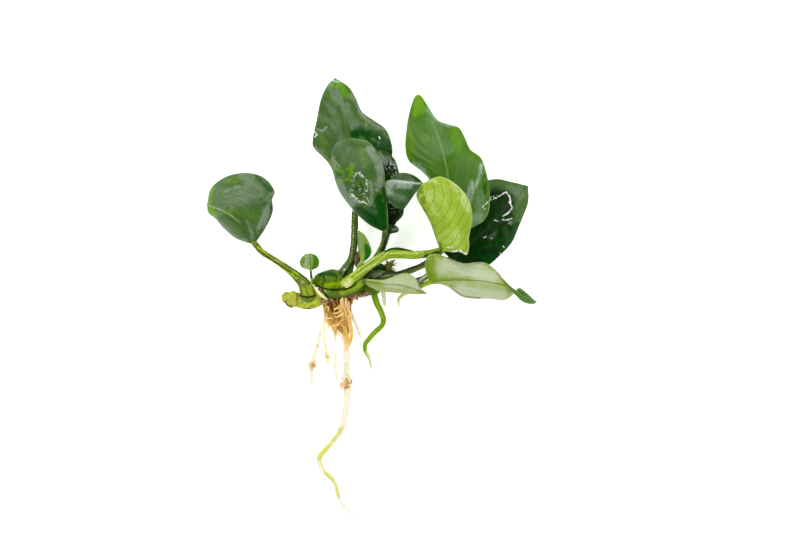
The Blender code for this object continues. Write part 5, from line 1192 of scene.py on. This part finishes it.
def blade_sheet(rails, look):
    """The middle surface of a blade as rows of places, with each place's distances from midrib and margin."""
    lines = {key: smooth_line(rails[key]) for key in ("midrib", "left", "right")}
    halfway = [along(lines[key], [0.5])[0] for key in ("left", "right")]
    width = np.linalg.norm(halfway[0] - halfway[1])
    share = np.linspace(0, 1, max(LEAST_ROWS, round(lines["midrib"][1][-1] / BLADE_CELL)) + 1)
    across = np.linspace(-1, 1, 2 * max(LEAST_COLUMNS, round(width / 2 / BLADE_CELL)) + 1)
    out = np.abs(across)
    on_left = across > 0
    middle = along(lines["midrib"], share)[:, None]
    left = along(lines["left"], share * TIP_SHARE)[:, None]
    right = along(lines["right"], share * TIP_SHARE)[:, None]
    margin = np.where(on_left[None, :, None], left, right)
    sheet = middle * (1 - out)[None, :, None] + margin * out[None, :, None]
    swell = hump(share)[:, None] ** 0.6 * hump(out)[None, :]
    sheet[..., 2] += np.where(on_left, *rails["bulge"])[None, :] * swell
    height, count = look["wave"]
    turn = np.where(on_left, *MARGIN_PHASES)[None, :]
    waves = np.sin(2 * math.pi * count * share[:, None] + turn) * hump(share)[:, None] ** 0.5
    sheet[..., 2] += height * waves * out[None, :] ** 2
    sheet[..., 2] += SWAY_HEIGHT * rough(sheet, SWAY_SIZE, 5.0) * swell
    from_rib = np.linalg.norm(sheet - middle, axis=-1)
    from_margin = np.linalg.norm(sheet - margin, axis=-1)
    return sheet, share[:, None], across[None, :], from_rib, from_margin


def blade_faces(rows, columns):
    """Faces of a blade's rings, each with its slot: 0 at the front and 1 at the back."""
    count = 2 * columns + 2
    faces = []
    slots = []
    for i in range(rows - 1):
        for j in range(count):
            k = (j + 1) % count
            faces.append((i * count + j, (i + 1) * count + j, (i + 1) * count + k, i * count + k))
            slots.append(0 if j < columns - 1 else 1)
    for i in (0, (rows - 1) * count):
        for j in range(columns - 1):
            faces.append((i + j, i + j + 1, i + 2 * columns - 1 - j, i + 2 * columns - j))
        faces.append((i + columns - 1, i + columns, i + columns + 1))
        faces.append((i, i + count - 1, i + count - 2))
        slots.extend([0] * (columns + 1))
    return faces, slots


def blade(name, rails, look, finishes):
    """A leaf blade: a thin closed sheet with a rounded margin, a midrib and puckers between its side veins."""
    sheet, share, across, from_rib, from_margin = blade_sheet(rails, look)
    out = np.abs(across)
    normal = unit(np.cross(np.gradient(sheet, axis=0), np.gradient(sheet, axis=1)))
    phase = look["veins"] * (share - look["slant"] * out**VEIN_CURVE) + np.where(across > 0, 0.0, VEIN_SHIFT)
    inside = np.clip(hump(out) * hump(share), 0, 1)
    pucker = look["pucker"] * (0.5 - 0.5 * np.cos(2 * math.pi * phase)) * inside
    rib = look["rib"] * np.exp(-(from_rib / RIB_HALF) ** 2) * (1 - share) ** RIB_FADE
    towards_camera = 1 if look["side"] == "upper" else -1
    sheet = sheet + normal * (towards_camera * (pucker - rib))[..., None]
    tip = np.clip((1 - share) / TIP_THINNING, TIP_THINNEST, 1)
    half = (THICK_EDGE + (THICK_MIDDLE - THICK_EDGE) * (1 - out) ** THICK_CURVE) / 2 * tip
    top = sheet + normal * half[..., None]
    bottom = sheet - normal * half[..., None]
    sideways = unit(np.gradient(sheet, axis=1))
    left_rim = (sheet[:, -1] + sideways[:, -1] * EDGE_ROUND)[:, None]
    right_rim = (sheet[:, 0] - sideways[:, 0] * EDGE_ROUND)[:, None]
    places = lifted(np.concatenate([top, left_rim, bottom[:, ::-1], right_rim], axis=1)).reshape(-1, 3)

    def around(values):
        """The same value at the front and the back of each place, and at the rims."""
        rows = np.broadcast_to(values, sheet.shape[:2])
        return np.concatenate([rows, rows[:, -1:], rows[:, ::-1], rows[:, :1]], axis=1).ravel()

    strokes = {key: painted(places, look[key]) for key in ("fresh", "deep", "wet")}
    frost = painted(places, look["frost"], SHEEN_AND_PALE_UNEVENNESS, SHEEN_AND_PALE_FADING)
    glint_film = painted(places, look["glint_film"], 0.0)
    rib_start, rib_end, rib_strength = look["rib_shows"]
    rib_window = soft((share - rib_start) / RIB_WINDOW) * soft((rib_end - share) / RIB_WINDOW)
    faces, slots = blade_faces(*sheet.shape[:2])
    front = look["finish"]
    new_piece(name, places, faces, [finishes[front], finishes[BACKS[front]]], {
        "blade": [around(share), around(across), around(phase)],
        "measure": [around(from_rib), around(from_margin), strokes["wet"]],
        "tones": [strokes["fresh"], strokes["deep"], frost],
        "marks": [around(look["veins_show"]), around(rib_strength * rib_window), glint_film]}, name, slots)


def tube_rings(path, sides, step, relief):
    """Rings of places round a line, with rounded ends. relief changes the radius by share, angle and distance."""
    line = smooth_line(path)
    length = line[1][-1]
    share = np.linspace(0, 1, max(3, round(length / step)) + 1)
    places = along(line, share)
    centres, radii = places[:, :3], places[:, 3]
    forward = unit(np.gradient(centres, axis=0))
    beside = unit(np.cross(forward, [0, 0, 1.0]))
    above = np.cross(beside, forward)
    bends = np.radians(END_BENDS)
    last = len(share) - 1
    index = np.concatenate([np.zeros(len(bends), int), np.arange(last + 1), np.full(len(bends), last)])
    shift = np.concatenate([-np.sin(bends), np.zeros(last + 1), np.sin(bends[::-1])])
    shrink = np.sqrt(1 - shift**2)
    angle = np.linspace(0, 2 * math.pi, sides, endpoint=False)[None, :]
    distance = (share[index] * length)[:, None]
    reach = radii[index, None] * (1 + relief(share[index, None], angle, distance)) * shrink[:, None]
    core = centres[index] + forward[index] * (shift * radii[index])[:, None]
    rings = core[:, None] + reach[..., None] * (beside[index, None] * np.cos(angle)[..., None]
                                                + above[index, None] * np.sin(angle)[..., None])
    run = np.stack(np.broadcast_arrays(np.cos(angle), np.sin(angle), distance), axis=-1)
    return rings, run


def ring_faces(rows, sides):
    """Quads between rows of a ring of places, and a cap at each end."""
    faces = []
    for a in range(0, (rows - 1) * sides, sides):
        for j in range(sides):
            k = (j + 1) % sides
            faces.append((a + j, a + k, a + sides + k, a + sides + j))
    faces.append(tuple(range(sides)))
    faces.append(tuple(range(rows * sides - 1, (rows - 1) * sides - 1, -1)))
    return faces


def ring_mask(rings, angle, distance):
    """How deep the wandering rings round a stalk are at each angle and distance along it."""
    mask = np.zeros(np.broadcast(angle, distance).shape)
    for at, width, depth in rings:
        place = distance + RING_SWAY * np.sin(angle + at) + 0.4 * RING_SWAY * np.sin(3 * angle + 2 * at)
        mask = mask + depth * np.exp(-((place - at) / width) ** 2)
    return mask


def relief_of(look):
    """How a stalk's radius changes: grooves along it and rings round it."""
    def relief(share, angle, distance):
        change = -ring_mask(look["rings"], angle, distance)
        for degrees, width, depth, start, end in look["grooves"]:
            turned = (np.degrees(angle) - degrees + 180) % 360 - 180
            window = soft((share - start) / GROOVE_WINDOW) * soft((end - share) / GROOVE_WINDOW)
            change = change - depth * np.exp(-(turned / width) ** 2) * window
        return change
    return relief


def tube(name, path, look, finishes):
    """A round stalk, root or piece of stem."""
    rings, run = tube_rings(path, look["sides"], look["step"], relief_of(look))
    outward = unit(rings - rings.mean(axis=1, keepdims=True))
    for height, size in look["lumps"]:
        rings = rings + outward * (height * rough(rings, size, 2.3))[..., None]
    places = lifted(rings).reshape(-1, 3)
    fresh, deep, frost = [painted(places, look[key]) for key in ("fresh", "deep", "frost")]
    angle = np.arctan2(run[..., 1], run[..., 0])
    # ring grooves are painted darker by their depth: dark scar lines and painted shade in them
    lines = np.clip(ring_mask(look["rings"], angle, run[..., 2]).ravel() * RING_DARKNESS, 0, 1)
    new_piece(name, places, ring_faces(len(rings), look["sides"]), [finishes[look["finish"]]],
              {"run": run.reshape(-1, 3).T, "tones": [fresh, np.maximum(deep, lines), frost]}, name)


def crown_core():
    """The dark heart of the root bundle: a flattened ball drawn out along the roots and narrowed at their end."""
    lengthways = np.linspace(1, CROWN_CUT, CROWN_ROWS + 2)[1:-1, None]
    angle = np.linspace(0, 2 * math.pi, CROWN_SIDES, endpoint=False)[None, :]
    around = np.sqrt(1 - lengthways**2) * soft((lengthways - CROWN_CUT + 0.02) / 0.5) ** 0.5
    down = (1 - lengthways) / 2
    narrow = (1 - CROWN_TAPER * down) / np.maximum(1 - lengthways**2, 0.02) ** CROWN_FULLNESS
    x = CROWN_MIDDLE[0] + around * np.cos(angle) * CROWN_HALF[0] * narrow * CROWN_SHRINK[0] + CROWN_LEAN * down
    y = CROWN_MIDDLE[1] + lengthways * CROWN_HALF[1] * np.ones_like(angle)
    z = CROWN_MIDDLE[2] + around * np.sin(angle) * CROWN_HALF[2] * CROWN_SHRINK[1]
    rings = np.stack([x, y, z], axis=-1)
    outward = unit(rings - rings.mean(axis=1, keepdims=True))
    ridges = rough(rings * np.array(CROWN_RIDGES), 1.0, 7.0) * 0.45 + rough(rings, 0.5, 1.0) * 0.12
    run = np.stack(np.broadcast_arrays(np.cos(angle), np.sin(angle), -y), axis=-1)
    return lifted(rings + outward * ridges[..., None]), run


def strand(path, sides=6, step=0.5):
    """One thin fibre as places, faces and runs, for joining with others."""
    rings, run = tube_rings(path, sides, step, lambda share, angle, distance: np.zeros(1))
    return lifted(rings).reshape(-1, 3), ring_faces(len(rings), sides), run.reshape(-1, 3)


def joined_strands(name, strands, material, node):
    """Many thin fibres as one piece."""
    faces = []
    start = 0
    for places, own_faces, _ in strands:
        faces.extend(tuple(start + corner for corner in face) for face in own_faces)
        start += len(places)
    joined = np.vstack([places for places, _, _ in strands])
    runs = np.vstack([run for _, _, run in strands])
    new_piece(name, joined, faces, [material], {"run": runs.T, "tones": np.zeros((3, len(joined)))}, node)


def wander(rng, line, sway, radius, thin):
    """A path along the given line that strays to the sides by up to sway, thinning towards its end."""
    phases = [rng.uniform(0, 6) for _ in range(3)]
    aside = [rng.uniform(-1, 1) for _ in range(3)]
    path = []
    for i, (x, y, z, spread) in enumerate(line):
        share = i / (len(line) - 1)
        x += spread * aside[0] + sway * math.sin(phases[0] + 5 * share)
        y += 0.5 * sway * math.sin(phases[1] + 6 * share)
        z += 0.7 * spread * abs(aside[1]) * aside[2] + 0.6 * sway * math.sin(phases[2] + 5 * share)
        path.append((x, y, max(FIBRE_CLEAR, z), radius * (1 - thin * share)))
    return path


def guided(rng, guide, count, radius, sway, thin=0.4):
    """Fibres side by side along a guide: points with how far the fibres spread there. Each starts and ends its own
    way along it."""
    line = smooth_line(guide)
    strands = []
    for _ in range(count):
        start = rng.uniform(0, 0.3)
        end = rng.uniform(0.6, 1)
        own = along(line, np.linspace(start, end, 8))
        strands.append(strand(wander(rng, own.tolist(), sway, rng.uniform(*radius), thin)))
    return strands


def curled(rng, middle, half, count, reach, radius, thin=0.4):
    """Short curled fibres scattered round a place."""
    strands = []
    for _ in range(count):
        turn = rng.uniform(0, 2 * math.pi)
        bend = rng.uniform(-2, 2)
        x, y, z = [m + rng.gauss(0, 0.42) * h for m, h in zip(middle, half)]
        length = rng.uniform(0.5, 1) * reach
        size = rng.uniform(0.6, 1) * radius
        path = []
        for share in (-0.5, -0.25, 0, 0.25, 0.5):
            path.append((x + length * share * math.cos(turn + bend * share),
                         y + length * share * math.sin(turn + bend * share),
                         max(FIBRE_CLEAR, z + 0.3 * math.sin(5 * share)), size * (1 - thin * (share + 0.5))))
        strands.append(strand(path, 5, 0.3))
    return strands


def spike(foot, point):
    """A straight sliver from its foot to its point."""
    middle = tuple((a + b) / 2 for a, b in zip(foot, point))
    return strand([foot, middle, point], 6, 0.3)


def root_bundle(finishes):
    """The bundle of fibres below the stem: a dark heart under brown, tan, gold and cream fibres."""
    rings, run = crown_core()
    places = rings.reshape(-1, 3)
    strokes = [painted(places, CROWN_FRESH), painted(places, CROWN_DEEP_AND_SHADE), np.zeros(len(places))]
    # the heart's dark brown is partly painted shade: it shows as the dark gaps between the fibres
    new_piece("root_crown_heart", places, ring_faces(*rings.shape[:2]), [finishes["root_brown"]],
              {"run": run.reshape(-1, 3).T, "tones": strokes}, "root_crown")
    rng = random.Random(SEED)
    bundles = {name: [] for name in ("brown", "tan", "gold", "white", "pink", "loops")}
    for name, guide, count, radius, sway in CROWN_GUIDES:
        bundles[name] += guided(rng, guide, count, radius, sway)
    bundles["pink"] += curled(rng, *CROWN_TUFT)
    for name, guide, count, radius, sway in CROWN_LATER:
        bundles[name] += guided(rng, guide, count, radius, sway)
    for loop in CROWN_LOOPS:
        path = [(*place, LOOP_SPREAD) for place in loop]
        bundles["gold"] += guided(rng, path, 3, (0.2, 0.34), 0.1, 0.2)
        bundles["loops"] += guided(rng, path, 2, (0.2, 0.3), 0.1, 0.2)
    for name, strands in bundles.items():
        joined_strands("root_crown_" + name, strands, finishes["root_" + name], "root_crown")


def remains(finishes):
    """Old fibres and leaf bases that cling to the stem and the roots: each is a piece over one node of the model."""
    rng = random.Random(SEED + 1)

    def join(name, strands, look, node):
        joined_strands(name, strands, finishes[look], node)

    under = []
    for middle in UNDERSIDE_MIDDLES:
        under += curled(rng, middle, *UNDERSIDE_TUFT)
    join("underside_brown", under[::4], "root_brown", "rhizome_main")
    join("underside_tan", under[1::4], "root_tan", "rhizome_main")
    join("underside_pink", under[2::4] + under[3::4], "root_pink", "rhizome_main")
    spikes = []
    x, y = SPIKE_MIDDLE
    for i in range(SPIKE_COUNT):
        turn = 2 * math.pi * (i + rng.uniform(-0.3, 0.3)) / SPIKE_COUNT
        length = rng.uniform(1.6, 3.4)
        lean = rng.uniform(0, 0.6)
        foot = (x + 0.5 * math.cos(turn), y + 0.7 * math.sin(turn), 6.2, 0.42)
        point = (x + length * math.cos(turn), y + length * math.sin(turn), 6.4 + length * lean, 0.06)
        spikes.append(spike(foot, point))
    join("dried_spikes", spikes, "stalk_dried", "bract_dried")
    join("bases_dark", guided(rng, BASES_GUIDE, 26, (0.2, 0.42), 0.5), "stalk_base", "rhizome_main")
    slivers = []
    for i in range(SLIVER_COUNT):
        foot = (15.4 + rng.uniform(-1.6, 1), 3.4 + 0.14 * i, 7.6 + rng.uniform(0, 0.6), 0.2)
        point = (10 + rng.uniform(-0.8, 2), 2.2 + 0.36 * i, 8, 0.05)
        slivers.append(spike(foot, point))
    join("bases_silver", slivers, "stalk_silver", "rhizome_main")
    crinkles = curled(rng, *BRANCH_TUFT)
    join("crinkles_brown", crinkles[::2], "root_brown", "rhizome_branch")
    join("crinkles_pink", crinkles[1::2], "root_pink", "rhizome_branch")
    for name, (node, look, path) in SHEATHS.items():
        join(name, [strand(path, 18, 0.3)], look, node)
    for node, x, y, z, wide, high, count in CLUMPS:
        clump = []
        for side in (-0.7, 0, 0.7):
            middle = (x + side * wide, y, z - 1.3 * side**2 * wide)
            clump += curled(rng, middle, (0.7 * wide, high, 0.3), count, 0.9 * wide, 0.17)
        for look, own in (("gold", clump[::2]), ("loops", clump[1::4]), ("tan", clump[3::4])):
            join(node + "_clump_" + look, own, "root_" + look, node)


def set_floor():
    mesh = bpy.data.meshes.new("floor")
    corners = [(-1, -1), (1, -1), (1, 1), (-1, 1)]
    mesh.from_pydata([(x * FLOOR_HALF * MM, y * FLOOR_HALF * MM, FLOOR_DROP * MM) for x, y in corners], [],
                     [(0, 1, 2, 3)])
    material = bpy.data.materials.new("floor")
    material.use_nodes = True
    shader = material.node_tree.nodes["Principled BSDF"]
    shader.inputs["Base Color"].default_value = (FLOOR_GREY, FLOOR_GREY, FLOOR_GREY, 1)
    shader.inputs["Roughness"].default_value = FLOOR_ROUGHNESS
    shader.inputs["Specular IOR Level"].default_value = FLOOR_SPECULAR
    shader.inputs["Emission Color"].default_value = (1, 1, 1, 1)
    shader.inputs["Emission Strength"].default_value = FLOOR_GLOW
    mesh.materials.append(material)
    floor = bpy.data.objects.new("floor", mesh)
    bpy.context.scene.collection.objects.link(floor)


def set_light():
    """Soft light from four wide panels, a few small lamps for glints, and a sky that is brighter at the horizon."""
    scene = bpy.context.scene
    world = bpy.data.worlds.new("studio")
    scene.world = world
    world.use_nodes = True
    wires = Wires(world.node_tree)
    up = wires.parts(wires.add("ShaderNodeTexCoord").outputs["Generated"])[2]
    strength = wires.ramped(up, *SKY_STEP, SKY_SIDE, SKY_TOP)
    wires.give(world.node_tree.nodes["Background"].inputs["Strength"], strength)
    for name, compass, lean, width, power in PANELS + GLINTS:
        data = bpy.data.lights.new(name, "AREA")
        data.shape = "DISK"
        data.size = width * MM
        data.energy = power
        lamp = bpy.data.objects.new(name, data)
        lamp.visible_glossy = name not in HIDDEN_IN_GLOSS
        scene.collection.objects.link(lamp)
        turn = math.radians(compass)
        tilt = math.radians(lean)
        way = Vector((math.sin(tilt) * math.cos(turn), math.sin(tilt) * math.sin(turn), math.cos(tilt)))
        lamp.location = way * LIGHT_DISTANCE * MM
        lamp.rotation_euler = (-lamp.location).to_track_quat("-Z", "Y").to_euler()
    scene.view_settings.view_transform = "Standard"
    scene.view_settings.look = "None"
    scene.view_settings.exposure = 0
    scene.view_settings.gamma = 1


def set_camera():
    data = bpy.data.cameras.new("camera")
    data.lens = CAMERA_LENS
    data.sensor_width = CAMERA_SENSOR
    data.clip_start, data.clip_end = [end * MM for end in CAMERA_CLIP]
    camera = bpy.data.objects.new("camera", data)
    bpy.context.scene.collection.objects.link(camera)
    camera.location = Vector((CAMERA_X, CAMERA_Y, CAMERA_HEIGHT)) * MM
    bpy.context.scene.camera = camera


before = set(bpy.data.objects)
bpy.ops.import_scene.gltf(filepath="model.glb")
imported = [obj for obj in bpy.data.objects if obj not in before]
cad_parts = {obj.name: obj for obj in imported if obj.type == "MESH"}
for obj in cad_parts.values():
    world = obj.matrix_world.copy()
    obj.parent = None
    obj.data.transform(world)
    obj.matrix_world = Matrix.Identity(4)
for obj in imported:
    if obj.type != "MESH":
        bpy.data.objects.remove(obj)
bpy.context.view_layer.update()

leaf_group = leaf_surface()
stem_group = stem_surface()
blades = {name: finish(name, leaf_group, look) for name, look in LEAF_FINISHES.items()}
stems = {name: finish(name, stem_group, look) for name, look in STEM_FINISHES.items()}
for name, rails in BLADES.items():
    blade(name, rails, {**PLAIN_LOOK, **LOOKS[name]}, blades)
for name, path in TUBES.items():
    tube(name, path, {**PLAIN_STEM, **STEM_LOOKS[name]}, stems)
root_bundle(stems)
remains(stems)
set_floor()
set_light()
set_camera()
